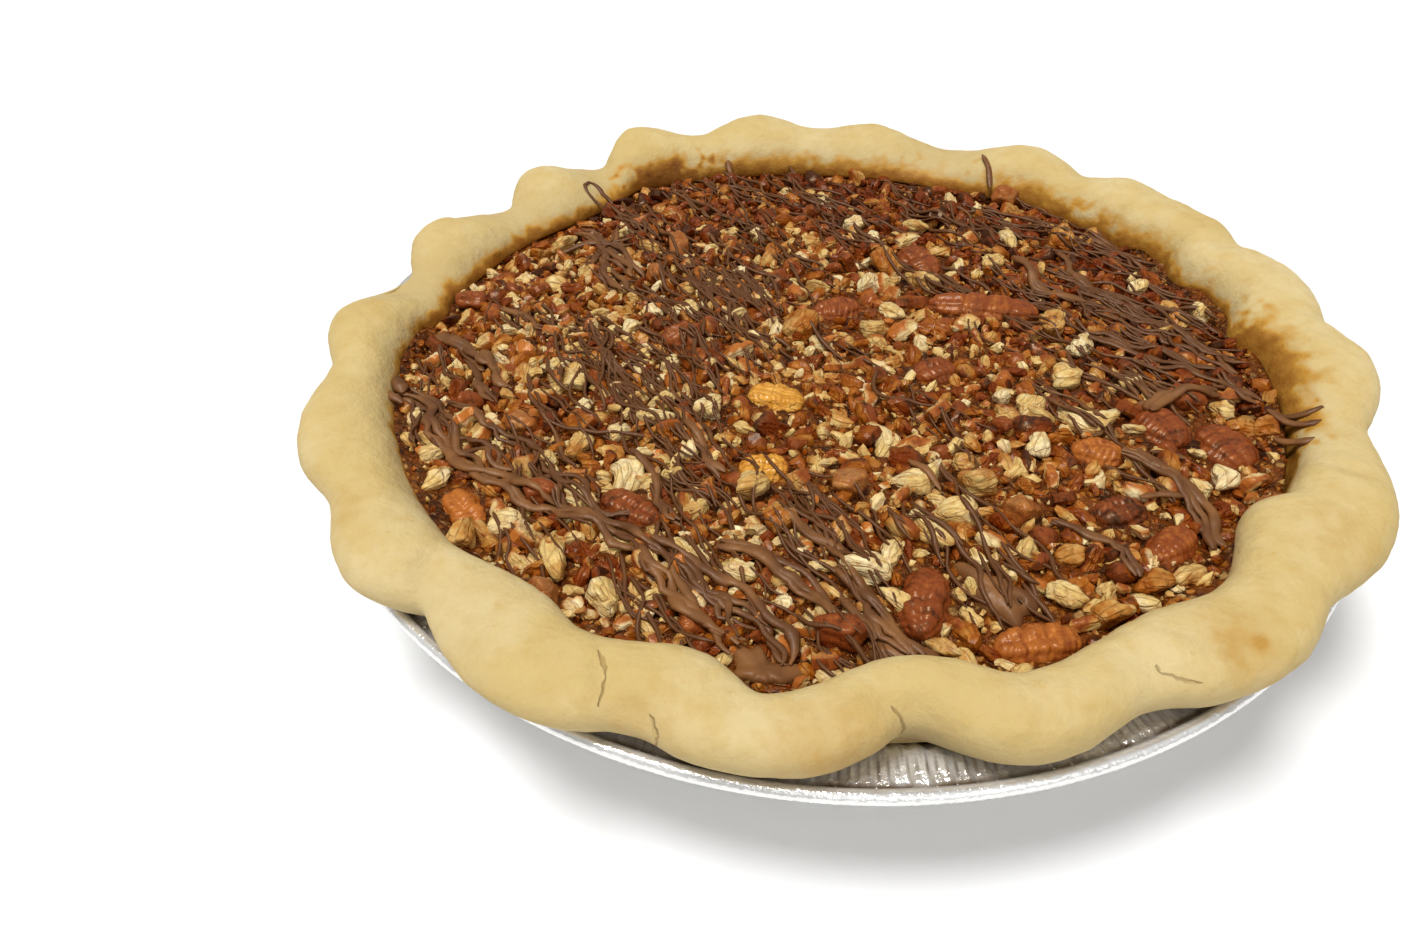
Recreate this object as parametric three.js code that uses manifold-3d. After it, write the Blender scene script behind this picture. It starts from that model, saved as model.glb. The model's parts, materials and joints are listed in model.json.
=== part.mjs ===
// A nine inch pecan pie in its foil pan: a pastry shell with a fluted, rope-like rim, a domed filling
// set with chopped pecans, strands of chocolate piped across it, and large pieces of pecan on top.
// Millimetres, +Z up. The origin is the centre of the pan's base, on the surface that the pie stands on.
import * as THREE from "three";
import { mergeVertices } from "three/addons/utils/BufferGeometryUtils.js";
import Module from "manifold-3d";

const wasm = await Module();
wasm.setup();

// ---------------------------------------------------------------- driving sizes
const GAP = 0.3; // clearance between neighbouring pieces

// The pan: a flat base, a sloping wall, a narrow flange and a rolled bead round its edge.
const PAN_BASE_R = 89.5;
const PAN_MOUTH_R = 111;
const PAN_MOUTH_Z = 28.2;
const PAN_RIM_R = 122;
const PAN_FOIL = 0.6; // thickness of the sheet
const BEAD_R = 1.4;
const BEAD_SIDES = 5;
const BEAD_TURN = 150; // the bead is rolled this far to each side of its outermost line, degrees
const PAN_SEGMENTS = 66;

// The pastry shell.
const CRUST_WALL = 5.3; // thickness of the sloping wall, measured level
const CRUST_FLOOR = 4.6;
const ROPE_SEAT_Z = PAN_MOUTH_Z + PAN_FOIL + GAP; // the rope's underside lies on the flange
const ROPE_MIDDLE_Z = 36; // height of the rope's widest line
const ROPE_FATNESS = 0.85; // 1 makes the rope's top an ellipse, less makes it fuller
const CREST_SHARE = 0.47; // where the crest runs, from the rope's inner side to its outer side
const ROPE_OVERHANG = 4; // least that the rope stands out over its seat
const ROPE_TOP_STEPS = [
  [32, 60], // points of the rope's top on the outer side, degrees up from its widest line
  [58, 28], // and on the inner side, from the crest down
];
const SAMPLES_PER_FLUTE = 6;
const FLUTE_SOFTNESS = 0.3; // 0 gives sharp notches between the flutes

// The fluted rim, anticlockwise from +X. Each flute bulges outwards at its own angle. Then the rope
// is pinched in before the next flute, where its inner side bulges over the filling.
// [angle in degrees, reach from the axis, height of the crest, depth of the notch, dip of the crest,
//  radius of the inner side, inner bulge, lean of the bulge, lean of the notch]
const FLUTES = [
  [9, 128, 42.5, 3.5, 0.5, 107.5, 5, 0, -0.1],
  [23.5, 127, 42.5, 0, 0, 107, 5.5, 0, 0],
  [36, 126.5, 42.5, 5, 2.5, 108, 6.5, 0, 0.05],
  [50.5, 125, 43, 6.5, 5, 108, 7, 0.05, -0.05],
  [77, 123.5, 41.5, 4.5, 2, 107.5, 6.5, 0, 0],
  [95, 125.5, 44, 6, 3.5, 108, 7.5, 0, 0],
  [115, 126, 44.5, 10, 6.5, 111, 7.5, -0.05, 0.1],
  [133, 123.5, 41.5, 11, 4.5, 108.5, 6.5, 0, 0.1],
  [154, 123, 41.5, 10, 5.5, 109, 7.5, -0.15, 0.05],
  [176, 124.5, 42, 5.5, 1, 105.5, 1, 0, 0.1],
  [199, 125.5, 42, 4, 1, 107.5, 1.5, -0.1, 0.05],
  [218.5, 126, 42, 6, 2, 106, 4, -0.15, 0.15],
  [240, 125.5, 41.5, 2.5, -0.5, 106, 5, -0.15, 0.1],
  [258.5, 122.5, 41.5, 8, -1, 108.5, 7.5, -0.05, -0.05],
  [282, 121, 42.5, 5, 0, 105.5, 3.5, -0.15, 0.1],
  [306, 124, 42, 3.5, 0, 105.5, 5.5, -0.2, 0.1],
  [326, 126, 42.5, 6, 2.5, 106, -1, 0.05, -0.05],
  [352, 128, 42.5, 4, 1, 109, 6, 0, 0.05],
];

// The filling.
const FILLING_EDGE_Z = 30;
const FILLING_DOME = 3; // rise from the edge to the middle
const FILLING_SEGMENTS = 36;
const FILLING_RINGS = 6;
const FILLING_RELIEF = 0.9; // unevenness of its surface between the nuts
const NUT_COUNT = 138;
const NUT_FIELD_R = 96;
const NUT_LONG = [2.8, 6]; // smallest and largest half length of a chopped piece
const NUT_SLENDER = [0.5, 0.75]; // half width over half length
const NUT_HIGH = [2.2, 3.6]; // half height
const NUT_BLOCK = [1.6, 1.6, 1.8]; // an even block, over those half sizes
const NUT_CORNER = [0.6, 1.15]; // how far a corner lies from the middle, over that of an even block
const NUT_CLEAR = 0.42; // share of a large piece's length that a chopped piece keeps from its middle
const NUT_JITTER = 2; // how far a piece lies off the regular spacing
const SEED = 7;

// Large pieces of pecan: [x, y, length, width, turn in degrees, height of the back above the filling]
const PECANS = [
  [43.3, 16.5, 28.5, 10.5, -11, 4.2],
  [72.8, -32.3, 13.8, 12.6, -70, 4.0],
  [85.4, -38.3, 14.6, 13, -72, 3.8],
  [29.8, -92, 16.5, 9.8, 8, 4.0],
  [62.8, -68, 13.5, 8.6, 38, 3.4],
  [10.8, -82.2, 17.5, 10, 72, 3.8],
  [25.6, -10.8, 11.5, 10, 20, 3.2],
  [-81.3, -54.5, 14, 9.5, -55, 3.4],
  [55.8, -41, 11.5, 9, -10, 3.6],
  [55.2, -59, 12, 9.4, 20, 3.2],
  [-46, -56, 15, 9, -36, 3.2],
  [31, 41, 16, 11, -70, 3.4],
  [5, 17, 13.5, 10, 15, 3.2],
];
// Pieces with no skin, steeped in syrup until they are amber.
const GLAZED = [
  [-13.3, -20.2, 13.5, 10.5, -18, 3.2],
  [-17.6, -45, 11, 9.5, 4, 3.4],
];
const PECAN_GIRTH_SIDES = 10;
const PECAN_STATIONS = 6;
const PECAN_DEPTH = 3.5; // how far a large piece is sunk below the filling's surface
const PECAN_TAPER = 0.8; // 1 makes the piece an ellipsoid, less makes its ends blunter
const FURROW_DEPTH = 0.2; // the furrow down the back, over the half height
const FURROW_WIDTH = 0.3; // radians of the girth
const SIDE_RIDGE = 0.04; // the ridge on each side of the back
const SOCKET_GAP = 1.4 * GAP; // room round a large piece, which its facets narrow

// Thick strands of chocolate: [width, points that the strand passes over, x and y].
const STRANDS = [
  [4.2, [-96, -24], [-75, -39], [-63, -51], [-42, -72], [-34, -88], [-16, -98]],
  [3.4, [-60, -7], [-57, -24], [-40, -50], [-18, -77], [3, -94]],
  [2.6, [-70, 56], [-52, 22], [-35, -26], [-25, -44]],
  [2.4, [-38, 78], [-18, 36], [-2, -4], [10, -38]],
  [2.6, [40, 78], [54, 42], [72, 4], [76, -16]],
];
const STRAND_STEP = 10; // length of a straight piece of a strand
const STRAND_SIDES = 4;
const STRAND_LIFT = 0.35; // a strand's middle line lies this far above the nuts
const STRAND_END_SINK = 0.6; // and its ends this far below the surface
// Pools where strands run together: [x, y, half length, half width]
const POOLS = [
  [28, -82, 7, 5.5],
  [4, -94.5, 6, 3.5],
  [-16, -97.5, 6, 3.5],
];
const POOL_HIGH = 2.6;
const POOL_FACETS = [10, 5]; // round it and from top to bottom

// ---------------------------------------------------------------- small helpers
const mix = (a, b, t) => a + (b - a) * t;
const radians = THREE.MathUtils.degToRad;

// A repeatable random number generator, 0 to 1.
function seededRandom(seed) {
  let state = seed;
  return () => {
    state = (state * 1664525 + 1013904223) % 4294967296;
    return state / 4294967296;
  };
}

// Turns a profile round the Z axis. profileAt(turn) gives [radius, z] points from the axis at the
// underside, out, and back to the axis on top; turn is in degrees.
function spin(turns, profileAt) {
  const rings = turns.map(profileAt);
  const last = rings[0].length - 1;
  const positions = [0, 0, rings[0][0][1], 0, 0, rings[0][last][1]];
  rings.forEach((ring, j) => {
    const c = Math.cos(radians(turns[j]));
    const s = Math.sin(radians(turns[j]));
    for (let k = 1; k < last; k++) {
      positions.push(ring[k][0] * c, ring[k][0] * s, ring[k][1]);
    }
  });
  const at = (j, k) => {
    if (k === 0) return 0;
    if (k === last) return 1;
    return 2 + (j % rings.length) * (last - 1) + k - 1;
  };
  const index = [];
  for (let j = 0; j < rings.length; j++) {
    index.push(at(j, 0), at(j + 1, 1), at(j, 1));
    for (let k = 1; k < last - 1; k++) {
      index.push(at(j, k), at(j + 1, k), at(j + 1, k + 1));
      index.push(at(j, k), at(j + 1, k + 1), at(j, k + 1));
    }
    index.push(at(j, last), at(j, last - 1), at(j + 1, last - 1));
  }
  const geometry = new THREE.BufferGeometry();
  geometry.setAttribute("position", new THREE.Float32BufferAttribute(positions, 3));
  geometry.setIndex(index);
  return geometry;
}

const evenTurns = (count) => Array.from({ length: count }, (_, i) => (i * 360) / count);

// A geometry as a closed solid that can be joined and cut, and back again.
function solidFrom(geometry) {
  const bare = geometry.clone();
  bare.deleteAttribute("normal");
  bare.deleteAttribute("uv");
  const merged = mergeVertices(bare, 1e-3);
  return new wasm.Manifold(
    new wasm.Mesh({
      numProp: 3,
      vertProperties: Float32Array.from(merged.attributes.position.array),
      triVerts: Uint32Array.from(merged.index.array),
    }),
  );
}

function geometryFrom(solid) {
  const { vertProperties, triVerts, numProp } = solid.getMesh();
  const geometry = new THREE.BufferGeometry();
  const positions = [];
  for (let i = 0; i < vertProperties.length; i += numProp) {
    positions.push(...vertProperties.subarray(i, i + 3));
  }
  geometry.setAttribute("position", new THREE.Float32BufferAttribute(positions, 3));
  geometry.setIndex(Array.from(triVerts));
  return geometry;
}

const largestBody = (solid) => solid.decompose().sort((a, b) => b.volume() - a.volume())[0];

function part(name, geometry, material) {
  const made = new THREE.Mesh(geometry, material);
  made.name = name;
  return made;
}

// ---------------------------------------------------------------- the foil pan
const panWallR = (z) => mix(PAN_BASE_R, PAN_MOUTH_R, z / PAN_MOUTH_Z);
const wallSlope = (PAN_MOUTH_R - PAN_BASE_R) / PAN_MOUTH_Z;
const foilLevel = PAN_FOIL * Math.hypot(1, wallSlope); // the sheet's thickness, measured level

function foilPan() {
  const profile = [
    [0, 0],
    [PAN_BASE_R, 0],
    [PAN_MOUTH_R, PAN_MOUTH_Z],
  ];
  const beadCentre = [PAN_RIM_R - BEAD_R, PAN_MOUTH_Z + BEAD_R - PAN_FOIL];
  for (let i = 0; i <= BEAD_SIDES; i++) {
    const turn = radians(mix(-BEAD_TURN, BEAD_TURN, i / BEAD_SIDES));
    profile.push([beadCentre[0] + BEAD_R * Math.cos(turn), beadCentre[1] + BEAD_R * Math.sin(turn)]);
  }
  profile.push(
    [beadCentre[0] - 1.3 * BEAD_R, PAN_MOUTH_Z + PAN_FOIL], // the bead's inner foot
    [PAN_MOUTH_R - 0.4 * foilLevel, PAN_MOUTH_Z + PAN_FOIL], // the inside of the mouth
    [PAN_BASE_R - 0.6 * foilLevel, PAN_FOIL], // the inside of the base's corner
    [0, PAN_FOIL],
  );
  return spin(evenTurns(PAN_SEGMENTS), () => profile);
}

// ---------------------------------------------------------------- the pastry shell
// Softened |x| for x from -1 to 1: rounded at the top of a flute and narrow at a notch.
const softAbs = (x) => {
  const soft = FLUTE_SOFTNESS * FLUTE_SOFTNESS;
  const floor = FLUTE_SOFTNESS;
  return (Math.sqrt(x * x + soft) - floor) / (Math.sqrt(1 + soft) - floor);
};

// The rope's measures at share t of the way from flute i to the next one.
function ropeAt(i, t) {
  const [angle, reach, crest, notch, dip, recess, bulge, leanIn, leanOut] = FLUTES[i];
  const next = FLUTES[(i + 1) % FLUTES.length];
  const nextAngle = next[0] > angle ? next[0] : next[0] + 360;
  const leaning = (lean) => t + lean * 4 * t * (1 - t);
  const ease = (x) => x * x * (3 - 2 * x);
  const tIn = leaning(leanIn);
  const tOut = leaning(leanOut);
  const outer = mix(reach, next[1], ease(tOut)) - notch * (1 - softAbs(Math.cos(Math.PI * tOut)));
  const inner = mix(recess, next[5], ease(tIn)) - bulge * softAbs(Math.sin(Math.PI * tIn));
  return {
    turn: mix(angle, nextAngle, t),
    outer,
    inner,
    crestR: mix(inner, outer, CREST_SHARE),
    crestZ: mix(crest, next[2], ease(t)) - dip * Math.sin((Math.PI * (tIn + tOut)) / 2) ** 2,
  };
}

const crustOuterR = (z) => panWallR(z) - foilLevel - GAP * Math.hypot(1, wallSlope);
const crustInnerR = (z) => crustOuterR(z) - CRUST_WALL;
const CRUST_BASE_Z = PAN_FOIL + GAP;
const CRUST_FLOOR_Z = CRUST_BASE_Z + CRUST_FLOOR;

// The whole section of the shell at one turn: underside, rope and inner side.
function crustSection({ outer, inner, crestR, crestZ }) {
  const beadTop = PAN_MOUTH_Z + 2 * BEAD_R - PAN_FOIL + GAP;
  const beadClear = PAN_RIM_R - 2 * BEAD_R - 2;
  const seatEnd = Math.min(outer - ROPE_OVERHANG, beadClear);
  const wallR = crustInnerR(FILLING_EDGE_Z);
  const [outerSteps, innerSteps] = ROPE_TOP_STEPS;
  // A point of the rope's top, from one side (0 degrees) up to the crest (90 degrees).
  const top = (side, degrees) => [
    crestR + (side - crestR) * Math.cos(radians(degrees)) ** ROPE_FATNESS,
    mix(ROPE_MIDDLE_Z, crestZ, Math.sin(radians(degrees)) ** ROPE_FATNESS),
  ];
  return [
    [0, CRUST_BASE_Z],
    [crustOuterR(CRUST_BASE_Z) - 2 * GAP, CRUST_BASE_Z],
    [crustOuterR(ROPE_SEAT_Z), ROPE_SEAT_Z],
    [seatEnd, ROPE_SEAT_Z],
    [mix(seatEnd, outer, 0.45), beadTop + 2 * GAP],
    [outer, ROPE_MIDDLE_Z],
    ...outerSteps.map((degrees) => top(outer, degrees)),
    [crestR, crestZ],
    ...innerSteps.map((degrees) => top(inner, degrees)),
    [inner, ROPE_MIDDLE_Z],
    [mix(inner, wallR, 0.65), mix(ROPE_MIDDLE_Z, FILLING_EDGE_Z, 0.5)], // rounds the underside
    [wallR, FILLING_EDGE_Z],
    [crustInnerR(CRUST_FLOOR_Z), CRUST_FLOOR_Z],
    [0, CRUST_FLOOR_Z],
  ];
}

function pastryShell() {
  const ropes = FLUTES.flatMap((_, i) =>
    Array.from({ length: SAMPLES_PER_FLUTE }, (_, k) => ropeAt(i, k / SAMPLES_PER_FLUTE)),
  );
  const sections = new Map(ropes.map((rope) => [rope.turn, crustSection(rope)]));
  return spin([...sections.keys()], (turn) => sections.get(turn));
}

// ---------------------------------------------------------------- large pieces of pecan
// A piece lies along its own X axis, back up. Its section has the furrow down the middle of the back
// and a shallower one down each side, and it narrows to both ends.
function pecanPiece([x, y, length, width, turn, back], grow = 0) {
  const furrow = (phi) => {
    const middle = FURROW_DEPTH * Math.exp(-((phi / FURROW_WIDTH) ** 2));
    return 1 - middle - SIDE_RIDGE * Math.cos(4 * phi);
  };
  const positions = [];
  const height = back + PECAN_DEPTH;
  for (let i = 1; i < PECAN_STATIONS; i++) {
    const along = -Math.cos((Math.PI * i) / PECAN_STATIONS);
    const girth = Math.sqrt(1 - along * along) ** PECAN_TAPER;
    for (let j = 0; j < PECAN_GIRTH_SIDES; j++) {
      const phi = (2 * Math.PI * j) / PECAN_GIRTH_SIDES;
      const wrapped = phi > Math.PI ? phi - 2 * Math.PI : phi;
      const r = girth * furrow(wrapped);
      const across = Math.sin(phi) * r * (width / 2 + grow);
      const up = Math.cos(phi) * r * (height / 2 + grow);
      positions.push(along * (length / 2 + grow), across, up);
    }
  }
  const end = length / 2 + grow;
  const tips = [positions.length / 3, positions.length / 3 + 1];
  positions.push(-end, 0, 0, end, 0, 0);
  const at = (i, j) => (i - 1) * PECAN_GIRTH_SIDES + (j % PECAN_GIRTH_SIDES);
  const index = [];
  for (let j = 0; j < PECAN_GIRTH_SIDES; j++) {
    index.push(tips[0], at(1, j), at(1, j + 1));
    index.push(tips[1], at(PECAN_STATIONS - 1, j + 1), at(PECAN_STATIONS - 1, j));
    for (let i = 1; i < PECAN_STATIONS - 1; i++) {
      index.push(at(i, j), at(i + 1, j), at(i + 1, j + 1));
      index.push(at(i, j), at(i + 1, j + 1), at(i, j + 1));
    }
  }
  const geometry = new THREE.BufferGeometry();
  geometry.setAttribute("position", new THREE.Float32BufferAttribute(positions, 3));
  geometry.setIndex(index);
  geometry.rotateZ(radians(turn));
  return geometry.translate(x, y, fillingTop(x, y) + back - height / 2);
}

// ---------------------------------------------------------------- the filling
function fillingTop(x, y) {
  const share = Math.hypot(x, y) / crustInnerR(FILLING_EDGE_Z);
  return FILLING_EDGE_Z + FILLING_DOME * (1 - share ** 4);
}

// The bare filling: it fills the shell, and its top is domed and a little uneven.
function fillingCore() {
  const random = seededRandom(SEED);
  const edgeR = crustInnerR(FILLING_EDGE_Z) - GAP * 1.3;
  const floorZ = CRUST_FLOOR_Z + GAP;
  return spin(evenTurns(FILLING_SEGMENTS), () => {
    const profile = [
      [0, floorZ],
      [crustInnerR(floorZ) - GAP * 1.4, floorZ],
    ];
    for (let i = 0; i < FILLING_RINGS; i++) {
      const r = edgeR * Math.sqrt(1 - i / FILLING_RINGS);
      const uneven = i > 0 ? FILLING_RELIEF * (2 * random() - 1) : 0;
      profile.push([r, fillingTop(r, 0) + uneven]);
    }
    profile.push([0, fillingTop(0, 0)]);
    return profile;
  });
}

// The chopped pieces lie on a sunflower spiral, largest first, and keep off the large pieces.
function choppedNuts() {
  const random = seededRandom(SEED);
  const golden = 180 * (3 - Math.sqrt(5));
  const order = Array.from({ length: NUT_COUNT }, (_, k) => k);
  const places = order.map((k) => {
    const r = NUT_FIELD_R * Math.sqrt((k + 0.5) / NUT_COUNT);
    const long = mix(...NUT_LONG, random() ** 1.5);
    return {
      x: r * Math.cos(radians(golden * k)) + NUT_JITTER * (random() - 0.5),
      y: r * Math.sin(radians(golden * k)) + NUT_JITTER * (random() - 0.5),
      long,
      wide: long * mix(...NUT_SLENDER, random()),
      high: mix(...NUT_HIGH, random()),
      turn: 180 * random(),
    };
  });
  places.sort((a, b) => b.long - a.long);
  const clear = (nut, [x, y, length]) =>
    Math.hypot(nut.x - x, nut.y - y) > NUT_CLEAR * length + nut.wide;
  return places.filter((nut) => [...PECANS, ...GLAZED].every((piece) => clear(nut, piece)));
}

// One chopped piece: a block with uneven corners, half sunk.
function nutPiece({ x, y, long, wide, high, turn }, random) {
  const block = new THREE.BoxGeometry(...NUT_BLOCK);
  block.deleteAttribute("normal");
  block.deleteAttribute("uv");
  const chunk = mergeVertices(block, 1e-3);
  const position = chunk.attributes.position;
  for (let i = 0; i < position.count; i++) {
    const corner = new THREE.Vector3().fromBufferAttribute(position, i);
    corner.x *= mix(...NUT_CORNER, random());
    corner.y *= mix(...NUT_CORNER, random());
    corner.z *= mix(...NUT_CORNER, random());
    position.setXYZ(i, ...corner);
  }
  chunk.scale(long, wide, high);
  chunk.rotateZ(radians(turn));
  return chunk.translate(x, y, fillingTop(x, y));
}

// The height of the nutty surface, which the strands lie on.
function surfaceTop(x, y, nuts) {
  return nuts.reduce((top, nut) => {
    const a = radians(-nut.turn);
    const dx = (x - nut.x) * Math.cos(a) - (y - nut.y) * Math.sin(a);
    const dy = (x - nut.x) * Math.sin(a) + (y - nut.y) * Math.cos(a);
    const share = (dx / nut.long) ** 2 + (dy / nut.wide) ** 2;
    const cap = share < 1 ? nut.high * 0.85 * Math.sqrt(1 - share) : 0;
    return Math.max(top, fillingTop(x, y) + cap);
  }, fillingTop(x, y));
}

// One strand of chocolate, draped over the nuts, with its ends let into the filling.
function strand([width, ...places], nuts) {
  const plan = new THREE.CatmullRomCurve3(places.map(([x, y]) => new THREE.Vector3(x, y, 0)));
  const steps = Math.round(plan.getLength() / STRAND_STEP);
  const points = plan.getSpacedPoints(steps).map((point, k) => {
    const lift = k === 0 || k === steps ? -STRAND_END_SINK : STRAND_LIFT;
    return point.setZ(surfaceTop(point.x, point.y, nuts) + lift);
  });
  const section = new THREE.Shape(
    Array.from({ length: STRAND_SIDES }, (_, k) => {
      const a = (2 * Math.PI * k) / STRAND_SIDES;
      return new THREE.Vector2((width / 2) * Math.cos(a), (width / 2) * Math.sin(a));
    }),
  );
  return new THREE.ExtrudeGeometry(section, {
    steps,
    bevelEnabled: false,
    extrudePath: new THREE.CatmullRomCurve3(points),
  });
}

function pool([x, y, long, wide]) {
  const drop = new THREE.SphereGeometry(1, ...POOL_FACETS).rotateX(Math.PI / 2);
  return drop.scale(long, wide, POOL_HIGH).translate(x, y, fillingTop(x, y));
}

function filling() {
  const random = seededRandom(SEED + 1);
  const nuts = choppedNuts();
  const pieces = [
    fillingCore(),
    ...nuts.map((nut) => nutPiece(nut, random)),
    ...STRANDS.map((line) => strand(line, nuts)),
    ...POOLS.map(pool),
  ];
  const fused = wasm.Manifold.union(pieces.map(solidFrom));
  const sockets = wasm.Manifold.union(
    [...PECANS, ...GLAZED].map((piece) => solidFrom(pecanPiece(piece, SOCKET_GAP))),
  );
  return geometryFrom(largestBody(fused.subtract(sockets)));
}

// ---------------------------------------------------------------- materials and assembly
const matte = (color, roughness) => new THREE.MeshStandardMaterial({ color, roughness });
const foil = new THREE.MeshStandardMaterial({ color: 0xc9c6c0, roughness: 0.28, metalness: 1 });
const pastry = matte(0xe6cf94, 0.75);
const nutFilling = matte(0x89593a, 0.4);
const pecan = matte(0x8a4a2a, 0.35);
const glazedNut = matte(0xc07c2a, 0.25);

const pie = new THREE.Group();
pie.add(part("foil_pan", foilPan(), foil));
pie.add(part("crust", pastryShell(), pastry));
pie.add(part("filling", filling(), nutFilling));
PECANS.forEach((piece, i) => {
  const number = String(i + 1).padStart(2, "0");
  pie.add(part(`pecan_${number}`, pecanPiece(piece), pecan));
});
GLAZED.forEach((piece, i) => {
  pie.add(part(`glazed_nut_${i + 1}`, pecanPiece(piece), glazedNut));
});

export default pie;
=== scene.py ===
"""A nine inch pecan pie in its foil pan: pale fluted pastry, a caramel filling packed with chopped pecans,
and fine strands of milk chocolate over the top. Lengths are in millimetres and turn to metres in the meshes."""
import functools
import json
import math

import bmesh
import bpy
import numpy as np
from mathutils import Matrix, Vector, noise

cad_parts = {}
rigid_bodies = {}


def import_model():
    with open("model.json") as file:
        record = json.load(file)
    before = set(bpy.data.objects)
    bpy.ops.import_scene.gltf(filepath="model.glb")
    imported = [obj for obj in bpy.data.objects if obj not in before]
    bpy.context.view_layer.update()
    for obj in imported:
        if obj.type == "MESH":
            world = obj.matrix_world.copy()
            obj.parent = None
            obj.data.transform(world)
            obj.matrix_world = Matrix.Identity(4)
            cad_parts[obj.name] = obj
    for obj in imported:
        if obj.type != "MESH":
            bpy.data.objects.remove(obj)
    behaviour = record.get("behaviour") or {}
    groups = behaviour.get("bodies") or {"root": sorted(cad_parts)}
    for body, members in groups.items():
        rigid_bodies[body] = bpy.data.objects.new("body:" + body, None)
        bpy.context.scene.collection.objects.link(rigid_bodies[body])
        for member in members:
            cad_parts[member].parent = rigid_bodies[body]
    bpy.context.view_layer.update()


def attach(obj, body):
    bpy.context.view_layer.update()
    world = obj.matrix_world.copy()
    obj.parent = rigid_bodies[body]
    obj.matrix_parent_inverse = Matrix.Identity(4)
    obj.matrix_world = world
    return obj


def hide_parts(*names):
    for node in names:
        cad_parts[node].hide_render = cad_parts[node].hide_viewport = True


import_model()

MM = 0.001
scene = bpy.context.scene


# ---------------------------------------------------------------------------------------- the foil pan
# A disposable pan, drawn from one disc of foil. The wall gathers into fine pleats as the disc is drawn
# up, they run out across the flange, and the edge is curled under into a bead.
PAN_BASE_R = 89.5
PAN_MOUTH_R = 111.0
PAN_MOUTH_Z = 28.2
PAN_RIM_R = 122.0
PAN_FOIL = 0.6
BEAD_R = 1.4
BEAD_TURN = 150  # degrees to each side of the bead's outermost line
GROOVE_R = PAN_RIM_R - 2.4 * BEAD_R  # the line stamped beside the bead
GROOVE_DEPTH = 0.5
BASE_RINGS = (45, 84)  # radii at which the flat base has points
PLEATS = 220
PLEAT_STEPS = 6  # points round one pleat
PLEAT_DEPTH = 0.55
FLANGE_PLEATS = 1.5  # how much deeper the pleats are on the flange
FLANGE_CRIMP = 0.22
RIM_DENT = 0.12
FOIL_COLOUR = (0.97, 0.965, 0.95, 1)
FOIL_SHADE = (0.155, 0.10, 0.055, 1)  # painted shade and painted dark reflection, between the pleats and in the groove, where the pan sees only itself
WALL_SLOPE = (PAN_MOUTH_R - PAN_BASE_R) / PAN_MOUTH_Z
FOIL_LEVEL = PAN_FOIL * math.hypot(1, WALL_SLOPE)


def mix(a, b, t):
    return a + (b - a) * t


def smooth(x):
    """0 below 0, 1 above 1, and an even rise between."""
    x = np.clip(x, 0, 1)
    return x * x * (3 - 2 * x)


def lumps(points, size, seed=0):
    """Soft noise from -1 to 1 at each point, with lumps of about that size."""
    shift = Vector((seed * 17.3, seed * 5.1, seed * 9.7))
    return np.array([noise.noise(Vector(p) / size + shift) for p in points])


def circle(count):
    """That many angles in radians, evenly round, and their directions as x and y."""
    turns = np.arange(count) * 2 * math.pi / count
    return turns, np.stack([np.cos(turns), np.sin(turns)], 1)


def turned(rings):
    """Faces of a skin that goes right round: rings[turn, station] from the axis to the axis."""
    turns, stations = rings.shape[:2]
    inner = stations - 2
    points = np.vstack([rings[0, :1], rings[0, -1:], rings[:, 1:-1].reshape(-1, 3)])
    near = 2 + np.arange(turns) * inner
    far = np.roll(near, -1)
    faces = [(0, b, a) for a, b in zip(near, far)]
    faces += [(1, a + inner - 1, b + inner - 1) for a, b in zip(near, far)]
    for k in range(inner - 1):
        faces += [(a + k, b + k, b + k + 1, a + k + 1) for a, b in zip(near, far)]
    return points, faces


def per_point(values):
    """Values given as rings, in the order of the points that turned() makes."""
    return np.r_[values[0, 0], values[0, -1], values[:, 1:-1].ravel()]


def piece(name, points, faces, material, attributes=None, soft=True):
    """A mesh object from points in millimetres. attributes maps a name to one value for each point."""
    mesh = bpy.data.meshes.new(name)
    mesh.from_pydata((np.asarray(points) * MM).tolist(), [], [tuple(map(int, f)) for f in faces])
    mesh.materials.append(material)
    for key, values in (attributes or {}).items():
        mesh.attributes.new(key, "FLOAT", "POINT").data.foreach_set("value", np.asarray(values, np.float32))
    if soft:
        mesh.shade_smooth()
    made = bpy.data.objects.new(name, mesh)
    scene.collection.objects.link(made)
    return made


def node(tree, kind, props=None, ins=None):
    """A node with its settings made and its sockets set or linked."""
    made = tree.nodes.new(kind)
    for key, value in (props or {}).items():
        setattr(made, key, value)
    for key, value in (ins or {}).items():
        if isinstance(value, bpy.types.NodeSocket):
            tree.links.new(value, made.inputs[key])
        else:
            made.inputs[key].default_value = value
    return made


def new_material(name, **fixed):
    """An empty material: its tree and its Principled shader, with the values that never vary."""
    material = bpy.data.materials.new(name)
    material.use_nodes = True
    tree = material.node_tree
    tree.nodes.clear()
    shader = node(tree, "ShaderNodeBsdfPrincipled", ins=fixed)
    node(tree, "ShaderNodeOutputMaterial", ins={"Surface": shader.outputs[0]})
    return material, tree, shader


def speckle(tree, place, scale, detail=3, roughness=0.5, warp=0.0):
    """A noise texture over a place, scale in lumps for each metre."""
    ins = {"Vector": place, "Scale": scale, "Detail": detail, "Roughness": roughness, "Distortion": warp}
    return node(tree, "ShaderNodeTexNoise", ins=ins).outputs[0]


def band(tree, value, low, high, to_low=0.0, to_high=1.0):
    """Maps a value from low..high, clamped."""
    ins = {0: value, 1: low, 2: high, 3: to_low, 4: to_high}
    return node(tree, "ShaderNodeMapRange", ins=ins).outputs[0]


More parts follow.
